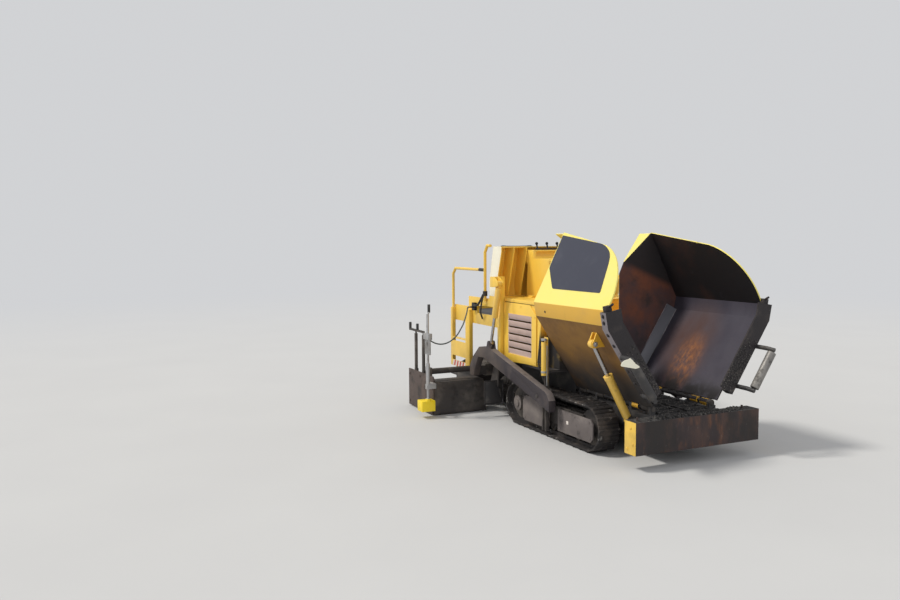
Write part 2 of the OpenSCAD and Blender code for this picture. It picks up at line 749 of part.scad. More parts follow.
module hopper_wing(side) {
    x0 = wing_rear;
    x1 = wing_front;
    curve_x = x1 + 14 - wall_curve;
    start = p0 + 34 * unit(p1 - p0);
    shell = [start, p1, p2, p3];
    outer = [p3 - wing_t * left_of(p2, p3), mitre(p1, p2, p3, -wing_t), mitre(p0, p1, p2, -wing_t),
        start - wing_t * left_of(p0, p1)];
    inner_top = p3 - [302.5, 265];
    inner_side = [inner_top[0] - 48, inner_top[1] - 107];
    color(yellow) on_side(side) {
        // Floor, chamfer and wall bent from one plate, the wall's edge cut to its curve
        difference() {
            along(x0, x1 + 14) polygon(concat(shell, outer));
            floor_plane() translate([x1, -50, -100]) cube([200, wing_floor + 30, 200]);
            wall_plane() translate([0, 0, -60]) linear_extrude(120) difference() {
                translate([x0 - 100, 0]) square([x1 - x0 + 400, wing_wall + 200]);
                intersection() {
                    polygon([[x0 - 50, 0], [x0 - 50, wing_wall + 8], [curve_x, wing_wall - 100],
                        [x1 + 200, wing_wall - 220], [x1 + 200, 0]]);
                    union() {
                        translate([curve_x, 70]) circle(r = wall_curve, $fn = 120);
                        translate([x0 - 200, -20]) square([curve_x - x0 + 200, wing_wall + 100]);
                        translate([x0 - 200, -20]) square([curve_x - x0 + 180 + wall_curve, 92]);
                    }
                }
            }
        }
        // Rear wall
        along(x0, x0 + 8) polygon([start, p1, p2, p3, inner_top, inner_side, [hinge_y - 182, hinge_z + 290],
            [hinge_y, hinge_z + 225]]);
        // Flange along the rear wall's slanted edge
        flange = norm(p3 - inner_top) - 6;
        translate([0, inner_top[0], inner_top[1]])
            rotate([atan2(p3[1] - inner_top[1], p3[0] - inner_top[0]), 0, 0]) translate([0, 0, -9])
                linear_extrude(8) polygon([[x0 - 6, 5], [x0 + 4, 5], [x0 + 4, flange], [x0 - 155, flange]]);
        // Stiffener under the floor's front edge
        floor_plane() translate([x1 - 34, 300, -wing_t - 36]) cube([12, wing_floor - 300, 37]);
    }
    color(hopper_steel) on_side(side) {
        // Corner strip between floor and rear wall
        floor_plane() across(40, wing_floor - 4)
            polygon([[x0 + 4, -3], [x0 + 47, -3], [x0 + 47, 3], [x0 + 4, 100]]);
        // Front lip along the floor and the chamfer: a deep bar with a thin upright plate before it
        along(x1 - 3, x1 + 56) polygon(concat(lip_edge(-lip_out), [for (i = [2:-1:0]) lip_edge(2)[i]]));
        along(x1 + 55, x1 + 69)
            polygon(concat(lip_edge(-lip_out), [for (i = [2:-1:0]) lip_edge(lip_in)[i]]));
    }
    color(yellow) on_side(side) {
        // Hinge tubes and their tabs
        difference() {
            union() {
                for (x = [wing_rear + 49, 735, 1215, wing_front - 147]) {
                    rod_x(hinge_y, hinge_z, x, x + 80, knuckle_r);
                    floor_plane() translate([x, 10, -wing_t]) cube([80, 30, wing_t]);
                }
            }
            for (x = [wing_rear + 49, 735, 1215, wing_front - 147]) {
                rod_x(hinge_y, hinge_z, x - 1, x + 81, hinge_r);
            }
        }
        // Clevis for the cylinder
        for (x = [cyl_x - 34, cyl_x + 20]) {
            along(x, x + 14) {
                translate(cyl_head) circle(r = 30);
                translate(p0) rotate(wing_slope)
                    polygon([[head_s - 30, -head_n], [head_s + 30, -head_n], [head_s + 70, 1 - wing_t],
                        [head_s - 70, 1 - wing_t]]);
            }
        }
        rod_x(cyl_head[0], cyl_head[1], cyl_x - 34, cyl_x + 34, cyl_pin - play);
    }
    color(dark_steel) on_side(side) {
        // Arms that hold the push roller's axle
        floor_plane() {
            for (y = [212, 588]) {
                pipe([[x1 + 30, y, -30], [x1 + 60, y, -66], [bumper_front + 10, y, -72],
                    [roller_x + 16, y, -92]], 18);
            }
            translate([roller_x, 204, -92]) rotate([-90, 0, 0]) cylinder(h = 392, r = 12 - play);
        }
    }
}

module hopper_wing_right() {
    hopper_wing("right");
}

module hopper_wing_left() {
    hopper_wing("left");
}

module push_roller(side) {
    color(dark_steel) on_side(side) {
        floor_plane() translate([roller_x, 235, -92]) rotate([-90, 0, 0]) difference() {
            cylinder(h = 330, r = roller_d / 2);
            translate([0, 0, -1]) cylinder(h = 332, r = 12);
        }
    }
}

module push_roller_right() {
    push_roller("right");
}

module push_roller_left() {
    push_roller("left");
}

// Frame of a hopper cylinder: z runs from its foot to its head
module wing_cyl_frame() {
    translate([cyl_x, cyl_foot[0], cyl_foot[1]]) rotate([cyl_angle - 90, 0, 0]) children();
}

module wing_barrel(side) {
    color(yellow) on_side(side) wing_cyl_frame() {
        difference() {
            union() {
                translate([-25, 0, 0]) rotate([0, 90, 0]) cylinder(h = 50, r = 30);
                cylinder(h = 42, r = 22);
                translate([0, 0, 41]) cylinder(h = 360, r = wing_cyl_d / 2);
                translate([0, 0, 400]) cylinder(h = 34, r = wing_cyl_d / 2 + 4);
            }
            translate([-60, 0, 0]) rotate([0, 90, 0]) cylinder(h = 120, r = cyl_pin);
            translate([0, 0, 60]) cylinder(h = 400, r = 18);
        }
    }
}

module wing_barrel_right() {
    wing_barrel("right");
}

module wing_barrel_left() {
    wing_barrel("left");
}

module wing_rod(side) {
    color(bright_rod) on_side(side) wing_cyl_frame() {
        difference() {
            union() {
                translate([0, 0, 170]) cylinder(h = cyl_len - 200, r = 18 - play);
                translate([-19, 0, cyl_len]) rotate([0, 90, 0]) cylinder(h = 38, r = 34);
            }
            translate([-60, 0, cyl_len]) rotate([0, 90, 0]) cylinder(h = 120, r = cyl_pin + eye_play);
        }
    }
}

module wing_rod_right() {
    wing_rod("right");
}

module wing_rod_left() {
    wing_rod("left");
}

// Long arm from the tow pin back over the extension to the main screed
module tow_arm(side) {
    color(dusty) on_side(side) {
        difference() {
            across(arm_in, arm_in + arm_t) translate([tow_x, tow_z])
                polygon([[134, -88], [203, -110], [203, -10], [165, 40], [133, 60], [-969, 332],
                    [-1135, 310], [-1275, 195], [-1350, 90], [-1350, 0], [-1265, -5], [-1225, 90],
                    [-1155, 205], [-1035, 212]]);
            rod_y(tow_x, tow_z, arm_in - 5, arm_in + arm_t + 10, 18);
        }
        for (y = [lift_y - 32, lift_y + 20]) {
            across(y, y + 12) {
                translate(lift_foot) {
                    circle(r = 26);
                    polygon([[-26, 0], [26, 0], [50, -65], [-50, -65]]);
                }
            }
        }
        rod_y(lift_foot[0], lift_foot[1], lift_y - 32, lift_y + 32, lift_pin);
    }
}

module tow_arm_right() {
    tow_arm("right");
}

module tow_arm_left() {
    tow_arm("left");
}

module lift_cyl_frame() {
    translate([lift_top[0], lift_y, lift_top[1]]) rotate([0, 90 - lift_angle, 0]) children();
}

module lift_barrel(side) {
    color(yellow) on_side(side) lift_cyl_frame() {
        difference() {
            union() {
                rotate([90, 0, 0]) translate([0, 0, -18]) cylinder(h = 36, r = 26);
                translate([0, 0, 14]) cylinder(h = 34, r = lift_cyl_d / 2 - 13);
                translate([0, 0, 42]) cylinder(h = 308, r = lift_cyl_d / 2);
            }
            rotate([90, 0, 0]) translate([0, 0, -40]) cylinder(h = 80, r = lift_pin);
            translate([0, 0, 60]) cylinder(h = 400, r = 15);
        }
    }
}

module lift_barrel_right() {
    lift_barrel("right");
}

module lift_barrel_left() {
    lift_barrel("left");
}

module lift_rod(side) {
    color(bright_rod) on_side(side) lift_cyl_frame() {
        difference() {
            union() {
                translate([0, 0, 180]) cylinder(h = lift_len - 200, r = 15 - play);
                translate([0, 18, lift_len]) rotate([90, 0, 0]) cylinder(h = 36, r = 24);
            }
            translate([0, 40, lift_len]) rotate([90, 0, 0]) cylinder(h = 80, r = lift_pin + 3);
        }
    }
}

module lift_rod_right() {
    lift_rod("right");
}

module lift_rod_left() {
    lift_rod("left");
}

module screed_main() {
    rear = walkway_rear + 140;
    color(dusty) {
        difference() {
            across(-screed_half, screed_half)
                polygon([[rear, 8], [-1140, 8], [-1140, 362], [-890, 362], [-890, 480], [-910, 500],
                    [-1300, 500], [rear + 40, 400], [rear, 360]]);
            for (t = tube_x) {
                rod_y(t[1], tube_z, -screed_half - 115, screed_half + 115, tube_d / 2);
            }
        }
        for (side = ["left", "right"]) on_side(side) {
            box([tow_x - 1350, screed_half - 1, tow_z], [tow_x - 1265, arm_in - seat, tow_z + 90]);
        }
    }
    color(dark_steel) {
        // Walkway behind the screed on three brackets
        box([walkway_rear, -screed_half, 262], [rear - 6, screed_half, 280]);
        for (y = [-500, 0, 488]) {
            across(y, y + 12) polygon([[walkway_rear + 10, 263], [rear + 1, 263], [rear + 1, 150]]);
        }
    }
}

module extension(side) {
    x_t = side == "right" ? tube_x[0][1] : tube_x[1][1];
    out = side == "right" ? screed_out : out_left;
    color(dusty) on_side(side) {
        across(ext_in, out - 14)
            polygon([[-1130, 6], [-862, 6], [-850, 30], [-862, ext_h - 70], [-910, ext_h],
                [-1105, ext_h], [-1130, ext_h - 30]]);
        // End plate with a turned-up front shoe
        across(out - 15, out)
            polygon([[-1490, 14], [-880, 14], [-830, 60], [-830, 370], [-860, 400], [-1490, 400]]);
        box([x_t - 55, out - 38, ext_h - 1], [x_t + 55, out - 10, tube_z + 45]);
        // Height cranks on the end plate
        for (x = [-1330, -1130]) {
            box([x - 22, out - 38, 330], [x + 22, out - 10, 420]);
            translate([x, out - 21, 380]) cylinder(h = 410, r = 17);
            translate([x, out - 21, 789]) cylinder(h = 25, r = 9);
            box([x - 170, out - 32, 812], [x + 14, out - 10, 832]);
            translate([x - 160, out - 21, 831]) cylinder(h = 64, r = 14);
        }
    }
    color(bright_rod) on_side(side) {
        rod_y(x_t, tube_z, out - 1100, out - 37, tube_d / 2 - play);
    }
}

module screed_extension_right() {
    extension("right");
}

module screed_extension_left() {
    extension("left");
}

// Mast with the yellow sensor at its foot, carried on the right end plate
module grade_sensor() {
    sensor_x = mast_x - 45;
    plate_out = -screed_out - seat;
    color(bright_rod) {
        box([mast_x - 120, plate_out - 20, 295], [mast_x + 20, plate_out, 345]);
        box([mast_x - 20, mast_y - 20, 295], [mast_x + 20, plate_out - 19, 345]);
        translate([mast_x, mast_y, 190]) cylinder(h = 850, r = 13);
        translate([mast_x, mast_y, 320]) cylinder(h = 230, r = 20);
        // Clamp with its two tubes
        box([mast_x - 60 + seat, mast_y - 22, 790], [mast_x + 60, mast_y + 22, 850]);
        for (x = [mast_x - 45, mast_x + 45]) {
            translate([x, mast_y, 640]) cylinder(h = 160, r = 12);
        }
        pipe([[mast_x, mast_y, 1028], [mast_x - 60, mast_y + 40, 1054]], 8);
    }
    color([0.9, 0.85, 0.05]) {
        box([sensor_x - 62, mast_y - 70, 70], [sensor_x + 62, mast_y + 70, 175]);
        translate([mast_x, mast_y, 170]) cylinder(h = 30, r = 26);
    }
    color(dark_steel) {
        translate([mast_x - 60, mast_y + 40, 1050]) cylinder(h = 80, r = 14);
    }
}

// Ring of a tube around point p in the plane square to direction d
function ring(p, d, r, n) =
    let (side = unit(cross(d, [0, 0, 1])), up = cross(side, d))
    [for (i = [0:n - 1]) p + r * (cos(360 * i / n) * side + sin(360 * i / n) * up)];

module sensor_cable() {
    n = 10;
    m = len(cable_route);
    path = [for (i = [0:m - 2]) for (t = [0, 0.5])
        let (a = cable_route[max(i - 1, 0)], b = cable_route[i], c = cable_route[i + 1],
            e = cable_route[min(i + 2, m - 1)])
        t == 0 ? b : (9 * (b + c) - a - e) / 16, cable_route[m - 1]];
    k = len(path);
    dirs = [for (i = [0:k - 1]) i == 0 ? [-1, 0, 0] : i == k - 1 ? [0, 1, 0] :
        unit(path[i + 1] - path[i - 1])];
    points = [for (i = [0:k - 1]) each ring(path[i], dirs[i], cable_r, n)];
    color([0.3, 0.32, 0.34])
        polyhedron(points, concat(
            [[for (j = [0:n - 1]) j]],
            [for (i = [0:k - 2]) for (j = [0:n - 1])
                [i * n + j, (i + 1) * n + j, (i + 1) * n + (j + 1) % n, i * n + (j + 1) % n]],
            [[for (j = [n - 1:-1:0]) (k - 1) * n + j]]));
}

main_frame();
front_bumper();
conveyor_chains();
track_right();
track_left();
track_frame_right();
track_frame_left();
engine_block();
engine_housing();
grille_right();
grille_left();
dash_fairing();
console();
platform();
ladder_right();
ladder_left();
seat_base();
seat_cushion();
seat_back();
lift_posts();
tow_guides();
auger_frame();
sensor_cable();
hopper_wing_right();
hopper_wing_left();
push_roller_right();
push_roller_left();
wing_barrel_right();
wing_barrel_left();
wing_rod_right();
wing_rod_left();
hood_lid_right();
hood_lid_left();
auger_right();
auger_left();
tow_arm_right();
tow_arm_left();
screed_main();
screed_extension_right();
screed_extension_left();
lift_barrel_right();
lift_barrel_left();
lift_rod_right();
lift_rod_left();
grade_sensor();
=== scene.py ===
import math
import random

import bmesh
import bpy
from mathutils import Matrix, Vector
from mathutils.bvhtree import BVHTree


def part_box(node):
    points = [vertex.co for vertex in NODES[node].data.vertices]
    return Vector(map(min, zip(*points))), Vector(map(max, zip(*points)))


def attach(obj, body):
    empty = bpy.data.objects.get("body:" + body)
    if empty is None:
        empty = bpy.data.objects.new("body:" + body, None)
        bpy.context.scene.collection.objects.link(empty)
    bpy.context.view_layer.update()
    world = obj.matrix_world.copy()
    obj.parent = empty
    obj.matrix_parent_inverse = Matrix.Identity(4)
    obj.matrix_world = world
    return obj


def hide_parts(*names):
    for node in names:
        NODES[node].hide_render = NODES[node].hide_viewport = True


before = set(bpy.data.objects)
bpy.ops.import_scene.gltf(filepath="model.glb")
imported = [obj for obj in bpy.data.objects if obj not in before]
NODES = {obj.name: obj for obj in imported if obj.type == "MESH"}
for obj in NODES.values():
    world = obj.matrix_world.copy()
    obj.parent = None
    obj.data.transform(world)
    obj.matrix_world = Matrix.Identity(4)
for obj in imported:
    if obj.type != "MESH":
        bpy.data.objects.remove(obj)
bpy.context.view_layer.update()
random.seed(7)
SIDES = (("right", -1), ("left", 1))


# Shader helpers

X, Y, Z = range(3)
# Stretch of a noise: none, or drawn out down the surface
EVEN = (1, 1, 1)
DOWN = (1, 1, 0.15)
# Shifts that keep two materials, or two stains of one, from having the same noise
SEED_STEP, STAIN_STEP, SEED_SHIFT = 0.37, 3.7, (1, 1.7, 0.6)
# Scale, detail and roughness of the tint's noise, detail and roughness of the others
TINT_NOISE, STAIN_NOISE, BUMP_NOISE = (3.1, 3, 0.5), (8, 0.6), (6, 0.65)
BUMP_HEIGHT, BUMP_SEED = 0.004, 5.0
SPOT_RIM, SPOT_CORE = 1.0, 0.25
# Painted shadow over the hopper's high rear corners: how fast its edge falls outwards, and the
# heights over which it sets in
CORNER_FALL, CORNER_LO, CORNER_HI = 0.41, 1.57, 1.66


def set_or_link(nt, socket, value):
    if isinstance(value, bpy.types.NodeSocket):
        nt.links.new(value, socket)
    else:
        socket.default_value = value


def ramp(nt, fac, lo, hi):
    """Soft step from 0 at lo to 1 at hi."""
    m = nt.nodes.new("ShaderNodeMapRange")
    m.inputs["From Min"].default_value = lo
    m.inputs["From Max"].default_value = hi
    m.interpolation_type = "SMOOTHSTEP"
    nt.links.new(fac, m.inputs["Value"])
    return m.outputs["Result"]


def calc(nt, operation, *values):
    m = nt.nodes.new("ShaderNodeMath")
    m.operation = operation
    for socket, value in zip(m.inputs, values):
        set_or_link(nt, socket, value)
    return m.outputs[0]


def mixed(nt, kind, fac, a, b):
    m = nt.nodes.new("ShaderNodeMix")
    m.data_type = kind
    nt.links.new(fac, m.inputs["Factor"])
    wanted = "RGBA" if kind == "RGBA" else "VALUE"
    sockets = [s for s in m.inputs if s.type == wanted and s.name in "AB"]
    set_or_link(nt, sockets[0], a)
    set_or_link(nt, sockets[1], b)
    return [s for s in m.outputs if s.type == wanted][0]


def mapped(nt, scale=EVEN, shift=(0, 0, 0)):
    tc = nt.nodes.new("ShaderNodeTexCoord")
    mp = nt.nodes.new("ShaderNodeMapping")
    mp.inputs["Scale"].default_value = scale
    mp.inputs["Location"].default_value = shift
    nt.links.new(tc.outputs["Object"], mp.inputs["Vector"])
    return mp.outputs["Vector"]


def coordinate(nt, axis):
    sp = nt.nodes.new("ShaderNodeSeparateXYZ")
    nt.links.new(mapped(nt), sp.inputs["Vector"])
    return sp.outputs[axis]


def distance(nt, scale, shift=(0, 0, 0)):
    """Distance from the origin after scaling and shifting."""
    length = nt.nodes.new("ShaderNodeVectorMath")
    length.operation = "LENGTH"
    nt.links.new(mapped(nt, scale, shift), length.inputs[0])
    return length.outputs["Value"]


def noise(nt, scale, detail, rough, stretch=EVEN, seed=0.0):
    n = nt.nodes.new("ShaderNodeTexNoise")
    n.inputs["Scale"].default_value = scale
    n.inputs["Detail"].default_value = detail
    n.inputs["Roughness"].default_value = rough
    shift = [seed * s for s in SEED_SHIFT]
    nt.links.new(mapped(nt, stretch, shift), n.inputs["Vector"])
    return n.outputs["Fac"]


def band(lo, hi, axis=Z):
    """Mask that rises from 0 to 1 between two places on an axis of the row frame."""
    return lambda nt: ramp(nt, coordinate(nt, axis), lo, hi)


def spot(x, z, rx, rz):
    """Soft round mask about a place in the X-Z plane."""
    scale, shift = (1 / rx, 0, 1 / rz), (-x / rx, 0, -z / rz)
    return lambda nt: ramp(nt, distance(nt, scale, shift), SPOT_RIM, SPOT_CORE)


def corner_shadow(nt):
    """Mask for the painted shadow over the hopper's high rear corners, above a line that falls
    outwards.
    """
    out = calc(nt, "ABSOLUTE", coordinate(nt, Y))
    height = calc(nt, "MULTIPLY_ADD", out, CORNER_FALL, coordinate(nt, Z))
    return ramp(nt, height, CORNER_LO, CORNER_HI)


def stain(colour, rough, amount, scale, lo, hi, stretch=EVEN, mask=None):
    """Shows where noise of this scale rises from lo to hi, as far as the mask lets it."""
    return colour, rough, amount, scale, lo, hi, stretch, mask


def material(name, base, rough, stains, metal=0.0, bump=None, coat=0.0, tint=0.08):
    """A base colour that varies by tint, with stains over it and a bump (strength, scale)."""
    m = bpy.data.materials.new(name)
    m.use_nodes = True
    nt = m.node_tree
    bsdf = nt.nodes["Principled BSDF"]
    bsdf.inputs["Metallic"].default_value = metal
    bsdf.inputs["Coat Weight"].default_value = coat
    seed = len(name) * SEED_STEP
    colour = mixed(nt, "RGBA", noise(nt, *TINT_NOISE, seed=seed),
                   (*[c * (1 - tint) for c in base], 1),
                   (*[min(1, c * (1 + tint)) for c in base], 1))
    roughness = rough
    for i, (c, r, amount, scale, lo, hi, stretch, mask) in enumerate(stains):
        f = ramp(nt, noise(nt, scale, *STAIN_NOISE, stretch, STAIN_STEP * i + seed), lo, hi)
        if mask:
            f = calc(nt, "MULTIPLY", f, mask(nt))
        f = calc(nt, "MULTIPLY", f, amount)
        colour = mixed(nt, "RGBA", f, colour, (*c, 1))
        roughness = mixed(nt, "FLOAT", f, roughness, r)
    set_or_link(nt, bsdf.inputs["Base Color"], colour)
    set_or_link(nt, bsdf.inputs["Roughness"], roughness)
    if bump:
        strength, scale = bump
        b = nt.nodes.new("ShaderNodeBump")
        b.inputs["Strength"].default_value = strength
        b.inputs["Distance"].default_value = BUMP_HEIGHT
        nt.links.new(noise(nt, scale, *BUMP_NOISE, seed=BUMP_SEED), b.inputs["Height"])
        nt.links.new(b.outputs["Normal"], bsdf.inputs["Normal"])
    return m


# Materials

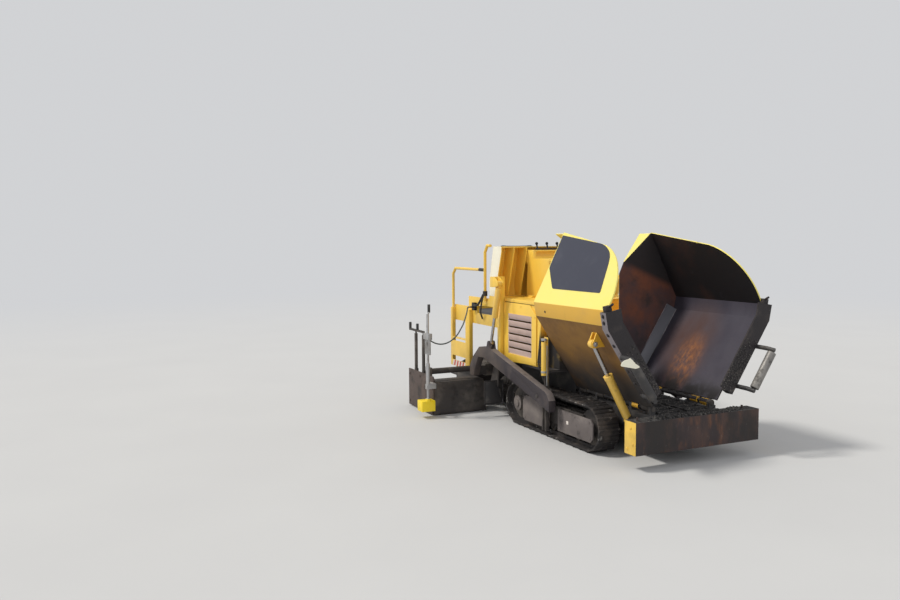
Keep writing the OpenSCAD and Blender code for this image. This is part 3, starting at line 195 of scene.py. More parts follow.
DUST = (0.27, 0.24, 0.20)
SOOT = (0.030, 0.027, 0.026)
DARK_RUST = (0.13, 0.05, 0.03)
MAT = {
    "yellow": material("paint_yellow", (0.87, 0.56, 0.075), 0.4, (
        stain(DUST, 0.8, 0.3, 2.3, 0.45, 0.8),
        stain((0.46, 0.27, 0.05), 0.7, 0.4, 7.0, 0.55, 0.8, DOWN),
        stain((0.16, 0.11, 0.05), 0.9, 0.5, 4.5, 0.42, 0.80, mask=band(0.80, 0.30)),
    ), bump=(0.05, 90), coat=0.2, tint=0.05),
    # The wing's yellow darkened as painted half shade
    "dimmed": material("paint_golden", (0.78, 0.44, 0.04), 0.4, (
        stain(DUST, 0.8, 0.3, 2.3, 0.45, 0.8),
        stain((0.42, 0.24, 0.04), 0.7, 0.4, 7.0, 0.55, 0.8, DOWN),
        stain((0.16, 0.11, 0.05), 0.9, 0.5, 4.5, 0.42, 0.80, mask=band(0.95, 0.40)),
    ), bump=(0.05, 90), coat=0.2, tint=0.05),
    # Yellow that turns dark lower down, below the wing: soot, and painted shade of the wing
    "soot_and_shadow": material("paint_sooty", (0.85, 0.54, 0.07), 0.5, (
        stain(DUST, 0.8, 0.3, 2.3, 0.45, 0.8),
        stain((0.024, 0.021, 0.020), 0.9, 1.0, 3.0, 0.10, 0.45, mask=band(0.99, 0.84)),
    ), bump=(0.1, 60), coat=0.05, tint=0.05),
    "amber": material("paint_amber", (0.83, 0.53, 0.10), 0.38, (
        stain(DUST, 0.8, 0.3, 6.0, 0.5, 0.8),
        stain((0.30, 0.17, 0.05), 0.8, 0.5, 16.0, 0.58, 0.74),
    ), bump=(0.04, 90), coat=0.2, tint=0.05),
    # The wing's yellow lightened as painted sunlight, on faces that look up
    "sunny": material("paint_lemon", (0.87, 0.74, 0.17), 0.33, (
        stain((0.80, 0.66, 0.32), 0.7, 0.3, 3.0, 0.45, 0.8),
        stain((0.35, 0.24, 0.09), 0.8, 0.35, 14.0, 0.62, 0.78, DOWN),
    ), bump=(0.04, 90), coat=0.25, tint=0.03),
    # Underside of the wings: the yellow darkened as painted shade, lighter near the top and darker
    # towards the bottom
    "shady": material("paint_ochre", (0.26, 0.125, 0.016), 0.6, (
        stain((0.10, 0.050, 0.024), 0.8, 0.8, 2.6, 0.35, 0.75),
        stain((0.40, 0.27, 0.15), 0.8, 0.4, 7.0, 0.55, 0.75, mask=band(0.98, 1.12)),
        stain((0.040, 0.034, 0.031), 0.9, 1.0, 3.0, 0.15, 0.55, mask=band(0.95, 0.52)),
    ), bump=(0.12, 60), coat=0.03, tint=0.1),
    "cream": material("paint_cream", (0.88, 0.84, 0.68), 0.45, (
        stain(DUST, 0.8, 0.35, 5.0, 0.5, 0.8),
    ), bump=(0.04, 60)),
    "slate": material("panel_slate", (0.024, 0.027, 0.048), 0.42, (
        stain((0.10, 0.105, 0.13), 0.7, 0.3, 6.0, 0.5, 0.8),
    ), bump=(0.02, 90), coat=0.08),
    "hopper": material("hopper_steel", (0.050, 0.045, 0.064), 0.42, (
        stain((0.095, 0.088, 0.110), 0.42, 0.6, 2.2, 0.35, 0.7, (1, 1, 0.5)),
        stain((0.085, 0.036, 0.026), 0.75, 0.85, 2.2, 0.2, 0.6, (1, 1, 0.6),
              mask=spot(0.86, 0.82, 0.42, 0.48)),
        stain((0.23, 0.085, 0.030), 0.75, 0.8, 3.2, 0.30, 0.62, (1, 1, 0.45),
              mask=spot(0.93, 0.67, 0.24, 0.32)),
        stain((0.38, 0.145, 0.045), 0.75, 0.75, 30.0, 0.36, 0.74, (1, 1, 0.20),
              mask=spot(0.93, 0.67, 0.22, 0.30)),
        stain((0.035, 0.032, 0.032), 0.9, 0.95, 9.0, 0.3, 0.6, mask=band(0.62, 0.47)),
    ), metal=0.3, bump=(0.12, 45), tint=0.14),
    # Inside of the wing's high wall: painted shadow, with dark rust and grey marks
    "hopper_dark": material("hopper_dark", (0.020, 0.018, 0.020), 0.6, (
        stain(DARK_RUST, 0.8, 0.4, 2.4, 0.5, 0.75),
        stain((0.07, 0.07, 0.08), 0.6, 0.4, 6.0, 0.6, 0.8),
    ), metal=0.15, bump=(0.10, 45)),
    "rear_wall": material("hopper_rear", (0.060, 0.040, 0.045), 0.6, (
        stain((0.21, 0.065, 0.03), 0.75, 0.9, 2.4, 0.38, 0.66),
        stain(SOOT, 0.8, 0.7, 4.0, 0.5, 0.68),
        # Painted shadow over the rear wall's high corners, where the wing's top shades it
        stain((0.018, 0.015, 0.016), 0.7, 0.96, 3.0, 0.05, 0.3, mask=corner_shadow),
    ), metal=0.15, bump=(0.12, 45)),
    "strip": material("hopper_strip", (0.155, 0.155, 0.175), 0.45, (
        stain((0.09, 0.09, 0.10), 0.7, 0.6, 5.0, 0.45, 0.75, DOWN),
    ), metal=0.3, bump=(0.08, 60)),
    "worn": material("lip_worn", (0.25, 0.225, 0.24), 0.55, (
        stain((0.09, 0.075, 0.075), 0.8, 0.7, 7.0, 0.45, 0.68),
        stain(SOOT, 0.9, 0.95, 4.0, 0.20, 0.5, mask=band(0.92, 0.66)),
    ), metal=0.3, bump=(0.25, 60)),
    "lip": material("lip_dark", (0.022, 0.018, 0.020), 0.6, (
        stain((0.085, 0.070, 0.064), 0.8, 0.6, 6.0, 0.48, 0.74),
        stain((0.16, 0.145, 0.13), 0.9, 0.8, 60.0, 0.52, 0.64, mask=band(0.95, 0.60)),
    ), metal=0.2, bump=(0.7, 110)),
    "grit": material("asphalt_grit", (0.032, 0.030, 0.030), 0.9, (
        stain((0.16, 0.145, 0.13), 0.9, 0.8, 70.0, 0.53, 0.64),
    ), bump=(1.0, 150)),
    "bumper": material("bumper_rust", (0.040, 0.029, 0.030), 0.75, (
        stain((0.11, 0.062, 0.048), 0.85, 0.75, 3.0, 0.40, 0.72, (1, 2.2, 0.8)),
        stain((0.21, 0.085, 0.036), 0.8, 0.7, 9.0, 0.48, 0.82, (1, 1.8, 0.6)),
        stain(SOOT, 0.9, 0.9, 2.2, 0.46, 0.66, (1, 1.3, 0.8)),
        stain((0.26, 0.235, 0.22), 0.7, 0.6, 22.0, 0.63, 0.74, (1, 1.5, 0.5)),
    ), metal=0.1, bump=(0.35, 70)),
    "dark": material("dark_paint", (0.033, 0.031, 0.032), 0.55, (
        stain(DUST, 0.85, 0.35, 5.0, 0.5, 0.75),
    ), bump=(0.1, 70)),
    "dusty": material("dusty_steel", (0.055, 0.048, 0.045), 0.7, (
        stain((0.19, 0.165, 0.14), 0.85, 0.7, 4.5, 0.42, 0.72),
        stain(SOOT, 0.9, 0.8, 9.0, 0.50, 0.7),
    ), metal=0.15, bump=(0.35, 70)),
    "arm": material("arm_steel", (0.038, 0.031, 0.036), 0.5, (
        stain((0.17, 0.135, 0.11), 0.85, 0.75, 3.0, 0.30, 0.65, mask=band(-0.15, -0.50, X)),
        stain((0.10, 0.082, 0.078), 0.85, 0.55, 8.0, 0.50, 0.72),
    ), metal=0.2, bump=(0.2, 70)),
    "track": material("track_steel", (0.026, 0.023, 0.023), 0.65, (
        stain((0.13, 0.105, 0.088), 0.9, 0.7, 6.0, 0.48, 0.72),
        stain((0.36, 0.34, 0.32), 0.45, 0.7, 14.0, 0.58, 0.70),
    ), metal=0.3, bump=(0.5, 80)),
    "cover": material("cover_plate", (0.135, 0.115, 0.110), 0.75, (
        stain((0.23, 0.20, 0.18), 0.85, 0.7, 5.0, 0.42, 0.75),
        stain(SOOT, 0.9, 0.8, 8.0, 0.55, 0.75),
    ), metal=0.1, bump=(0.3, 70)),
    "gate": material("gate_steel", (0.080, 0.058, 0.050), 0.75, (
        stain((0.19, 0.135, 0.105), 0.85, 0.75, 4.0, 0.42, 0.7, DOWN),
        stain(SOOT, 0.9, 0.8, 6.0, 0.5, 0.7),
    ), metal=0.1, bump=(0.3, 70)),
    "slat": material("slat_dust", (0.56, 0.42, 0.37), 0.85, (
        stain((0.28, 0.20, 0.165), 0.9, 0.5, 7.0, 0.45, 0.78),
    ), bump=(0.1, 70)),
    "chrome": material("chrome_rod", (0.46, 0.45, 0.45), 0.24, (
        stain((0.14, 0.12, 0.11), 0.6, 0.6, 12.0, 0.45, 0.75),
    ), metal=1.0),
    "zinc": material("zinc_plate", (0.42, 0.42, 0.42), 0.45, (
        stain(DUST, 0.85, 0.6, 9.0, 0.42, 0.72),
        stain(SOOT, 0.9, 0.6, 14.0, 0.55, 0.75),
    ), metal=0.6, bump=(0.1, 70)),
    "roller": material("roller_steel", (0.20, 0.19, 0.18), 0.5, (
        stain((0.36, 0.34, 0.31), 0.6, 0.7, 6.0, 0.42, 0.7),
        stain(SOOT, 0.9, 0.8, 10.0, 0.52, 0.7),
    ), metal=0.5, bump=(0.15, 70)),
    "rubber": material("rubber_black", (0.020, 0.020, 0.021), 0.6, (
        stain(DUST, 0.9, 0.3, 9.0, 0.5, 0.8),
    ), bump=(0.1, 90)),
    "vinyl": material("seat_vinyl", (0.028, 0.028, 0.032), 0.5, (
        stain((0.12, 0.11, 0.10), 0.8, 0.25, 6.0, 0.5, 0.8),
    ), bump=(0.25, 240)),
    "cable": material("cable_grey", (0.070, 0.085, 0.085), 0.5, (
        stain(DUST, 0.8, 0.35, 14.0, 0.5, 0.8),
    )),
    "sensor": material("sensor_yellow", (0.90, 0.66, 0.012), 0.4, (
        stain((0.35, 0.28, 0.05), 0.8, 0.4, 14.0, 0.56, 0.76),
    ), bump=(0.05, 90), coat=0.1, tint=0.04),
    "red": material("stripe_red", (0.50, 0.06, 0.035), 0.6, (
        stain(DUST, 0.9, 0.4, 12.0, 0.45, 0.8),
    )),
    "white": material("stripe_white", (0.72, 0.66, 0.60), 0.6, (
        stain(DUST, 0.9, 0.45, 12.0, 0.45, 0.8),
    )),
    "black": material("deep_black", (0.012, 0.012, 0.013), 0.6, (
        stain(DUST, 0.9, 0.2, 12.0, 0.55, 0.8),
    )),
}


# Dressing of the CAD nodes

# Edges bend smoothly up to SMOOTH_ANGLE, and from BEVEL_ANGLE on they are rounded off
SMOOTH_ANGLE, BEVEL_ANGLE = math.radians(32), math.radians(38)
WELD_GAP = 0.00002


def add_modifier(o, name, kind, **settings):
    m = o.modifiers.new(name, kind)
    for key, value in settings.items():
        setattr(m, key, value)


def add_bevel(o, width):
    add_modifier(o, "soft_edge", "BEVEL", width=width, segments=2, limit_method="ANGLE",
                 angle_limit=BEVEL_ANGLE)


def add_flat_faces(o):
    add_modifier(o, "flat_faces", "EDGE_SPLIT", split_angle=SMOOTH_ANGLE)


def paint(name, first, rule=None, others=(), width=0.002):
    """Gives a CAD node its materials. rule(centre, normal) gives an index into (first, *others)."""
    o = NODES[name]
    me = o.data
    me.materials.clear()
    for k in (first, *others):
        me.materials.append(MAT[k])
    for p in me.polygons:
        p.material_index = rule(p.center, p.normal) if rule else 0
        p.use_smooth = True
    if width:
        add_modifier(o, "weld", "WELD", merge_threshold=WELD_GAP)
        add_bevel(o, width)
    add_flat_faces(o)


# Shape of a wing, as in the part's source
SLOPE = math.radians(56.6)
CHAMFER = math.radians(79.2)
WALL = math.radians(116.9)
HINGE = Vector((0.30, 0.42))
FLOOR_LEN, CHAMFER_LEN = 0.821, 0.117
WING_REAR, WING_FRONT = 0.430, 1.486
BEND_1 = HINGE + FLOOR_LEN * Vector((math.cos(SLOPE), math.sin(SLOPE)))
BEND_2 = BEND_1 + CHAMFER_LEN * Vector((math.cos(CHAMFER), math.sin(CHAMFER)))

# Along X on a wing: rear flange, rear wall, corner strip, stiffener, lip and roller arms
FLANGE_END, WALL_BACK, WALL_FACE, STRIP_END = 0.428, 0.431, 0.4385, 0.48
STIFFENER_X = (1.214, 1.286)
LIP_BACK, LIP_START, ARMS_START = 1.483, 1.5005, 1.558
# Heights above the ground at which the curved wall changes colour: higher up, its inside is painted
# shadow and its outside painted sunlight
WALL_Z, SHADOW_WALL_Z, SUNLIT_Z = 1.09, 1.2, 1.225
# The floor's end up the sheet, and how far behind its inner face the sheet, lip and ribs lie
FLOOR_END, SHEET_H, LIP_H, RIB_H = 0.83, -0.004, -0.014, -0.05

WING_MATS = ("dimmed", "hopper", "hopper_dark", "rear_wall", "lip", "strip", "shady", "sunny",
             "worn", "dark")
WING_INDEX = {name: i for i, name in enumerate(WING_MATS)}


def wing_plane(k, start, angle):
    """Matrix from (x, up the sheet, inwards of it) to the row frame at rest."""
    c, s = math.cos(angle), math.sin(angle)
    return Matrix(((1, 0, 0, 0), (0, k * c, -k * s, k * start[0]), (0, s, c, start[1]),
                   (0, 0, 0, 1)))


def wing_rule(k):
    """Rule for the wing of side k: the material's index by a face's place and direction."""
    to_floor = wing_plane(k, HINGE, SLOPE).inverted()
    to_wall = wing_plane(k, BEND_2, WALL).inverted()

    def name_of(c, n):
        s, h = (to_floor @ c)[1:3]
        inward = (to_floor.to_3x3() @ n)[2]
        wall_in = (to_wall.to_3x3() @ n)[2]
        if c.x > ARMS_START:
            return "dark"
        if c.x > LIP_START or (c.x > LIP_BACK and h < LIP_H and n.x < 0.5):
            return "lip" if abs(n.x) > 0.5 or inward > 0.3 else "worn"
        # The rear flange looks up: painted sunlight
        if c.x < FLANGE_END:
            return "sunny"
        if c.x < WALL_BACK:
            return "dimmed"
        if c.x < WALL_FACE and n.x > 0.9:
            return "rear_wall"
        if c.x < STRIP_END and n.x > 0.5:
            return "strip"
        if inward > 0.8 and s < FLOOR_END and h > SHEET_H:
            return "hopper"
        # High on the wall's inside: painted shadow
        if wall_in > 0.8 and c.z > SHADOW_WALL_Z:
            return "hopper_dark"
        if wall_in > 0.4 and c.z > WALL_Z:
            return "hopper"
        # High on the wall's outside: painted sunlight
        if c.z > SUNLIT_Z:
            return "sunny"
        # Underside of the floor, apart from the stiffener: painted shade
        if s < FLOOR_END and RIB_H < h < 0 and not STIFFENER_X[0] < c.x < STIFFENER_X[1]:
            return "shady"
        # The rest of the wing: its yellow in painted half shade
        return "dimmed"
    return lambda c, n: WING_INDEX[name_of(c, n)]


# Places where the other nodes change colour
ROD_EYE_Z = 0.9
LOUVRE_X, LOUVRE_Z = (-0.345, 0.097), (0.668, 1.057)
COVER_Y = 0.5985
ARM_TOP_X = -0.5
GATE_Y, GATE_Z, CRANK_GRIP_Z = 1.184, 0.402, 0.8305
# From these places the fronts of the deck and the housing darken below the wing: soot and painted
# shade
DECK_SOOT_SHADE_X, DECK_SOOT_SHADE_Z, HOUSING_SOOT_SHADE_X = 0.4, 0.59, 0.2
BUMPER_END_Y = 0.616
FAIRING_SIDE_Y = 0.5995
CONSOLE_TOP_Z = 1.6651
DECK_Z, RAIL_BOX_Y = (0.99, 1.01), -0.6005
GUIDE_Y, GUIDE_Z = 0.634, 0.56
SENSOR_TOP_Z, MAST_GRIP_X, MAST_GRIP_Z = 0.2, -0.8255, 1.049

for side, k in SIDES:
    paint("hopper_wing_" + side, WING_MATS[0], wing_rule(k), WING_MATS[1:])
    paint("push_roller_" + side, "roller" if k > 0 else "dark", width=0.004)
    paint("wing_barrel_" + side, "amber")
    paint("wing_rod_" + side, "chrome",
          lambda c, n: 0 if c.z < ROD_EYE_Z else 1, ("amber",), 0.001)
    paint("lift_barrel_" + side, "amber")
    paint("lift_rod_" + side, "chrome", width=0.001)
    paint("hood_lid_" + side, "yellow")
    paint("grille_" + side, "yellow",
          lambda c, n: 1 if LOUVRE_X[0] < c.x < LOUVRE_X[1] and LOUVRE_Z[0] < c.z < LOUVRE_Z[1]
          else 0, ("slat",), 0.0012)
    paint("track_" + side, "track")
    paint("track_frame_" + side, "dusty",
          lambda c, n: 1 if abs(c.y) > COVER_Y else 0, ("cover",), 0.003)
    # Upward faces of the arm's front part are lighter
    paint("tow_arm_" + side, "arm",
          lambda c, n: 1 if n.z > 0.6 and c.x > ARM_TOP_X else 0, ("cover",), 0.004)
    paint("auger_" + side, "dusty", width=0)
    paint("screed_extension_" + side, "dusty",
          lambda c, n: 2 if c.z > CRANK_GRIP_Z else 1 if abs(c.y) > GATE_Y and c.z < GATE_Z else 0,
          ("gate", "rubber"))
    paint("ladder_" + side, "yellow")
# Front of the deck under the wing: soot and painted shade
paint("main_frame", "dark",
      lambda c, n: 1 if c.x > DECK_SOOT_SHADE_X and c.z > DECK_SOOT_SHADE_Z else 0, ("soot_and_shadow",), 0.003)
paint("front_bumper", "bumper",
      lambda c, n: 1 if abs(n.y) > 0.9 and abs(c.y) > BUMPER_END_Y else 2 if n.z > 0.9 else 0,
      ("yellow", "grit"), 0.004)
paint("conveyor_chains", "grit", width=0)
paint("engine_block", "black", width=0.006)
# Front of the housing under the wing: soot and painted shade
paint("engine_housing", "yellow",
      lambda c, n: 1 if c.x > HOUSING_SOOT_SHADE_X else 0, ("soot_and_shadow",), 0.003)
# The fairing's sides are cream: its yellow lightened as painted sunlight
paint("dash_fairing", "yellow", lambda c, n: 1 if abs(c.y) > FAIRING_SIDE_Y else 0, ("cream",))
paint("console", "yellow", lambda c, n: 1 if c.z > CONSOLE_TOP_Z else 0, ("black",), 0.003)
paint("platform", "yellow",
      lambda c, n: 1 if n.z > 0.9 and DECK_Z[0] < c.z < DECK_Z[1] else 2 if c.y < RAIL_BOX_Y else 0,
      ("dark", "black"))
paint("seat_base", "dark", width=0.004)
paint("lift_posts", "yellow")
paint("tow_guides", "dusty",
      lambda c, n: 1 if c.z > GUIDE_Z and abs(c.y) > GUIDE_Y else 0, ("yellow",))
paint("auger_frame", "dusty", width=0.003)
paint("screed_main", "dusty", width=0.003)
paint("grade_sensor", "zinc",
      lambda c, n: 1 if c.z < SENSOR_TOP_Z else 2 if c.z > MAST_GRIP_Z and c.x < MAST_GRIP_X else 0,
      ("sensor", "rubber"))


# Mesh helpers

def new_object(name, data):
    o = bpy.data.objects.new(name, data)
    bpy.context.scene.collection.objects.link(o)
    return o


def finish_mesh(bm, name, body, mat, bevel=0.0):
    """Turns bm into a piece that rides on the body."""
    me = bpy.data.meshes.new(name)
    bmesh.ops.recalc_face_normals(bm, faces=bm.faces)
    bm.to_mesh(me)
    bm.free()
    o = new_object(name, me)
    me.materials.append(MAT[mat])
    for p in me.polygons:
        p.use_smooth = True
    if bevel:
        add_bevel(o, bevel)
    add_flat_faces(o)
    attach(o, body)


def at(m, *place):
    """The place, given in the frame of m, in the row frame."""
    return m @ Vector(place)


def add_box(bm, lo, hi, m=None):
    centre = [(a + b) / 2 for a, b in zip(lo, hi)]
    size = [abs(b - a) for a, b in zip(lo, hi)]
    place = Matrix.Translation(centre) @ Matrix.Diagonal((*size, 1))
    bmesh.ops.create_cube(bm, size=1, matrix=(m @ place) if m else place)


def add_cyl(bm, a, b, r, n=20):
    """A cylinder from a to b with n sides."""
    a, b = Vector(a), Vector(b)
    d = b - a
    m = Matrix.Translation((a + b) / 2) @ d.to_track_quat("Z", "Y").to_matrix().to_4x4()
    bmesh.ops.create_cone(bm, cap_ends=True, segments=n, radius1=r, radius2=r, depth=d.length,
                          matrix=m)


def add_bolt(bm, p, axis, r, h):
    """A hexagonal head on a round washer."""
    p, axis = Vector(p), Vector(axis).normalized()
    add_cyl(bm, p - axis * 0.001, p + axis * 0.002, r * 1.5, 14)
    add_cyl(bm, p, p + axis * h, r, 6)


def add_side_bolts(bm, k, y, places, r, h):
    """Bolts at places (x, z) on a face that looks outwards at distance y, on side k."""
    for x, z in places:
        add_bolt(bm, (x, k * y, z), (0, k, 0), r, h)


def add_crumb(bm, place, r):
    """A small lump, turned at random."""
    m = Matrix.Translation(place) @ Matrix.Rotation(random.uniform(0, 3), 4, (1, 2, 3))
    bmesh.ops.create_icosphere(bm, subdivisions=1, radius=r, matrix=m)


def smooth_route(route, steps):
    """Points through the route's own, with steps - 1 between each two."""
    p = [Vector(q) for q in route]
    out = []
    for i in range(len(p) - 1):
        a, b, c, d = p[max(i - 1, 0)], p[i], p[i + 1], p[min(i + 2, len(p) - 1)]
        for j in range(steps):
            t = j / steps
            out.append(0.5 * (2 * b + (c - a) * t + (2 * a - 5 * b + 4 * c - d) * t * t
                              + (3 * b - a - 3 * c + d) * t ** 3))
    out.append(p[-1])
    return out


def add_tube(bm, pts, r, n=8, steps=4):
    """A round tube with n sides through smoothed points."""
    path = smooth_route(pts, steps)
    turns = [2 * math.pi * j / n for j in range(n)]
    rings, up = [], None
    for i, q in enumerate(path):
        d = (path[min(i + 1, len(path) - 1)] - path[max(i - 1, 0)]).normalized()
        if up is None:
            up = d.orthogonal().normalized()
        up = (up - d * up.dot(d)).normalized()
        across = d.cross(up)
        rings.append([bm.verts.new(q + r * (math.cos(a) * up + math.sin(a) * across))
                      for a in turns])
    for a, b in zip(rings, rings[1:]):
        for j in range(n):
            bm.faces.new((a[j], a[(j + 1) % n], b[(j + 1) % n], b[j]))
    bm.faces.new(rings[0])
    bm.faces.new(rings[-1])


def add_sheet(bm, m, outline, lo, hi):
    """A flat plate with a 2D outline, from lo to hi along the third axis of m."""
    top = [bm.verts.new(at(m, x, y, hi)) for x, y in outline]
    low = [bm.verts.new(at(m, x, y, lo)) for x, y in outline]
    bm.faces.new(top)
    bm.faces.new(low)
    for i in range(len(outline)):
        j = (i + 1) % len(outline)
        bm.faces.new((top[i], top[j], low[j], low[i]))


def rounded(corners, radii, steps=5):
    """The outline with each corner turned into a curve that starts its radius away."""
    out = []
    n = len(corners)
    for i in range(n):
        a, b, c = (Vector(corners[(i + j - 1) % n]) for j in range(3))
        p, q = b + (a - b).normalized() * radii[i], b + (c - b).normalized() * radii[i]
        for j in range(steps + 1):
            t = j / steps
            out.append(p * (1 - t) ** 2 + b * 2 * t * (1 - t) + q * t * t)
    return [tuple(p) for p in out]


# Seat cushions: the CAD block remeshed, blown up as cloth, then sewn and welted

PAD_SLACK, PAD_VOXEL, PAD_MOST = 0.009, 0.008, 0.016
PAD_PRESSURE, PAD_FRAMES = 4.0, 20
SEAM_WIDTH, SEAM_DEPTH = 0.007, 0.007
WELT_RAYS, WELT_R, WELT_SINK = 96, 0.0035, 0.001


def evaluated(o):
    """A copy of the object's mesh with its modifiers applied."""
    return bpy.data.meshes.new_from_object(o.evaluated_get(bpy.context.evaluated_depsgraph_get()))


def simulated(o):
    """The object's mesh after a short cloth simulation without gravity."""
    cloth = o.modifiers.new("cloth", "CLOTH")
    cloth.settings.quality = 4
    cloth.settings.mass = 0.4
    cloth.settings.use_pressure = True
    cloth.settings.uniform_pressure_force = PAD_PRESSURE
    cloth.settings.effector_weights.gravity = 0
    cloth.settings.tension_stiffness = 12
    cloth.settings.compression_stiffness = 12
    cloth.settings.bending_stiffness = 1.5
    cloth.collision_settings.use_collision = False
    cloth.point_cache.frame_end = PAD_FRAMES
    scene = bpy.context.scene
    for f in range(1, PAD_FRAMES + 1):
        scene.frame_set(f)
    result = evaluated(o)
    o.modifiers.remove(cloth)
    scene.frame_set(1)
    return result


def cushion(node, across, along, channels):
    """Padded piece in the node's place, sewn at the channels across it.

    across and along are directions in its main plane."""
    lo, hi = (Vector(v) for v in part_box(node))
    centre = (lo + hi) / 2
    across, along = Vector(across).normalized(), Vector(along).normalized()
    face = across.cross(along)
    o = new_object(node + "_pad", NODES[node].data.copy())
    shrink = Matrix.Diagonal((*[1 - 2 * PAD_SLACK / (b - a) for a, b in zip(lo, hi)], 1))
    o.data.transform(Matrix.Translation(centre) @ shrink @ Matrix.Translation(-centre))
    add_modifier(o, "remesh", "REMESH", mode="VOXEL", voxel_size=PAD_VOXEL)
    add_modifier(o, "rounded", "SMOOTH", iterations=5)
    o.data = evaluated(o)
    o.modifiers.clear()
    start = [v.co.copy() for v in o.data.vertices]
    o.data = simulated(o)
    for v, a in zip(o.data.vertices, start):
        d = v.co - a
        if d.length > PAD_MOST:
            v.co = a + d * (PAD_MOST / d.length)
        for axis in (X, Y, Z):
            v.co[axis] = min(max(v.co[axis], lo[axis]), hi[axis])
    for v in o.data.vertices:
        place = (v.co - centre).dot(across)
        top = max(0.0, face.dot(v.normal))
        sewn = sum(math.exp(-((place - c) / SEAM_WIDTH) ** 2) for c in channels)
        v.co -= face * (SEAM_DEPTH * top * sewn)
    o.data.materials.clear()
    o.data.materials.append(MAT["vinyl"])
    for p in o.data.polygons:
        p.use_smooth = True
    add_modifier(o, "fine", "SUBSURF", levels=1, render_levels=1)
    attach(o, "tractor")
    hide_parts(node)
    # Welt round the middle, found on the pad's own surface
    tree = BVHTree.FromPolygons([v.co.copy() for v in o.data.vertices],
                                [tuple(p.vertices) for p in o.data.polygons])
    ring = []
    for i in range(WELT_RAYS):
        a = 2 * math.pi * i / WELT_RAYS
        ray = across * math.cos(a) + along * math.sin(a)
        hit = tree.ray_cast(centre + ray, -ray)[0]
        if hit:
            ring.append(hit - ray * WELT_SINK)
    bm = bmesh.new()
    add_tube(bm, ring + ring[:1], WELT_R, steps=1)
    finish_mesh(bm, node + "_welt", "tractor", "vinyl")


cushion("seat_cushion", (0, 1, 0), (-1, 0, 0), (-0.13, 0, 0.13))
cushion("seat_back", (0, 1, 0), (-0.10, 0, 1), (-0.125, 0, 0.125))


# Wings: dark panel, lip bolts and bracket, black disc of painted shade in the chamfer's hole, weld
# beads, hinge nuts, cylinder's pins

PANEL = [(0.437, 0.645), (1.132, 0.555), (1.247, 0.475), (1.277, 0.39), (1.327, 0.135),
         (0.632, 0.135), (0.442, 0.33)]
PANEL_RADII = [0.012, 0.09, 0.05, 0.03, 0.02, 0.02, 0.02]
PANEL_H = (-0.0138, -0.0115)
LIP_BOLT_X, LIP_OUT, LIP_FACE = WING_FRONT + 0.028, -0.060, WING_FRONT + 0.067
FLOOR_BOLTS, CHAMFER_BOLTS = (0.20, 0.32, 0.44, 0.56, 0.68, 0.78), (0.04, 0.09)
HOLE_X, HOLE_S, HOLE_R = 0.595, 0.045, 0.011
BEAD_FROM, BEAD_LEN, BEAD_STEPS = 0.045, 0.77, 20
CLEVIS = (1.25, 0.674, -0.073)

for side, k in SIDES:
    wing = "wing_" + side
    floor_m = wing_plane(k, HINGE, SLOPE)
    chamfer_m = wing_plane(k, BEND_1, CHAMFER)
    wall_m = wing_plane(k, BEND_2, WALL)

    bm = bmesh.new()
    add_sheet(bm, wall_m, rounded(PANEL, PANEL_RADII), *PANEL_H)
    finish_mesh(bm, "wing_panel_" + side, wing, "slate")

    bm = bmesh.new()
    for m, places in ((floor_m, FLOOR_BOLTS), (chamfer_m, CHAMFER_BOLTS)):
        for s in places:
            add_bolt(bm, at(m, LIP_BOLT_X, s, LIP_OUT), at(m.to_3x3(), 0, 0, -1),
                     r=0.011, h=0.008)
    # Bracket with a pin at the lip's top end
    add_box(bm, (WING_FRONT + 0.004, CHAMFER_LEN - 0.01, -0.035),
            (WING_FRONT + 0.05, CHAMFER_LEN + 0.045, 0.015), chamfer_m)
    pin = at(chamfer_m, WING_FRONT + 0.030, CHAMFER_LEN + 0.03, 0.0)
    add_cyl(bm, pin, pin + Vector((0.055, 0, 0.03)), 0.009, 10)
    finish_mesh(bm, "lip_fittings_" + side, wing, "lip", 0.0015)

    # Black disc in the chamfer's hole: painted shade inside it
    bm = bmesh.new()
    add_cyl(bm, *[at(chamfer_m, HOLE_X, HOLE_S, h) for h in (-0.0135, -0.0115)], HOLE_R)
    finish_mesh(bm, "chamfer_hole_" + side, wing, "black")

    # Weld beads along both edges of the corner strip, in a light colour that also paints the
    # highlight along those edges: place, waviness and radius
    bm = bmesh.new()
    for x, h, wave, r in ((0.049, 0.0035, 0.0012, 0.0035), (0.012, 0.098, 0.001, 0.003)):
        bead = [at(floor_m, WING_REAR + x, i / BEAD_STEPS * BEAD_LEN + BEAD_FROM,
                   h + wave * (i % 2)) for i in range(BEAD_STEPS + 1)]
        add_tube(bm, bead, r, 6, 2)
    finish_mesh(bm, "strip_welds_" + side, wing, "worn")

    # Nuts on the hinge tubes' ends, dull with asphalt
    bm = bmesh.new()
    for x in (WING_REAR + 0.010, WING_FRONT - 0.030):
        add_cyl(bm, (x, k * HINGE.x, HINGE.y), (x + 0.004, k * HINGE.x, HINGE.y), 0.022, 6)
    finish_mesh(bm, "hinge_nuts_" + side, "tractor", "dusty")

    # Washers and ends of the hopper cylinder's pin
    head = at(floor_m, *CLEVIS)
    bm = bmesh.new()
    for d in (-1, 1):
        for reach, r in ((0.0375, 0.021), (0.044, 0.0135)):
            add_cyl(bm, head + Vector((d * 0.0335, 0, 0)), head + Vector((d * reach, 0, 0)), r, 16)
    finish_mesh(bm, "cylinder_pins_" + side, wing, "zinc", 0.001)


# Bumper: bolts in the end faces and lumps of asphalt along the top

BUMPER_CRUMBS, LIP_CRUMBS = 260, 240
BUMPER_TOP, BUMPER_BOLT_Y = 0.380, 0.617
BUMPER_BOLTS = ((1.585, 0.33), (1.615, 0.21), (1.545, 0.165))

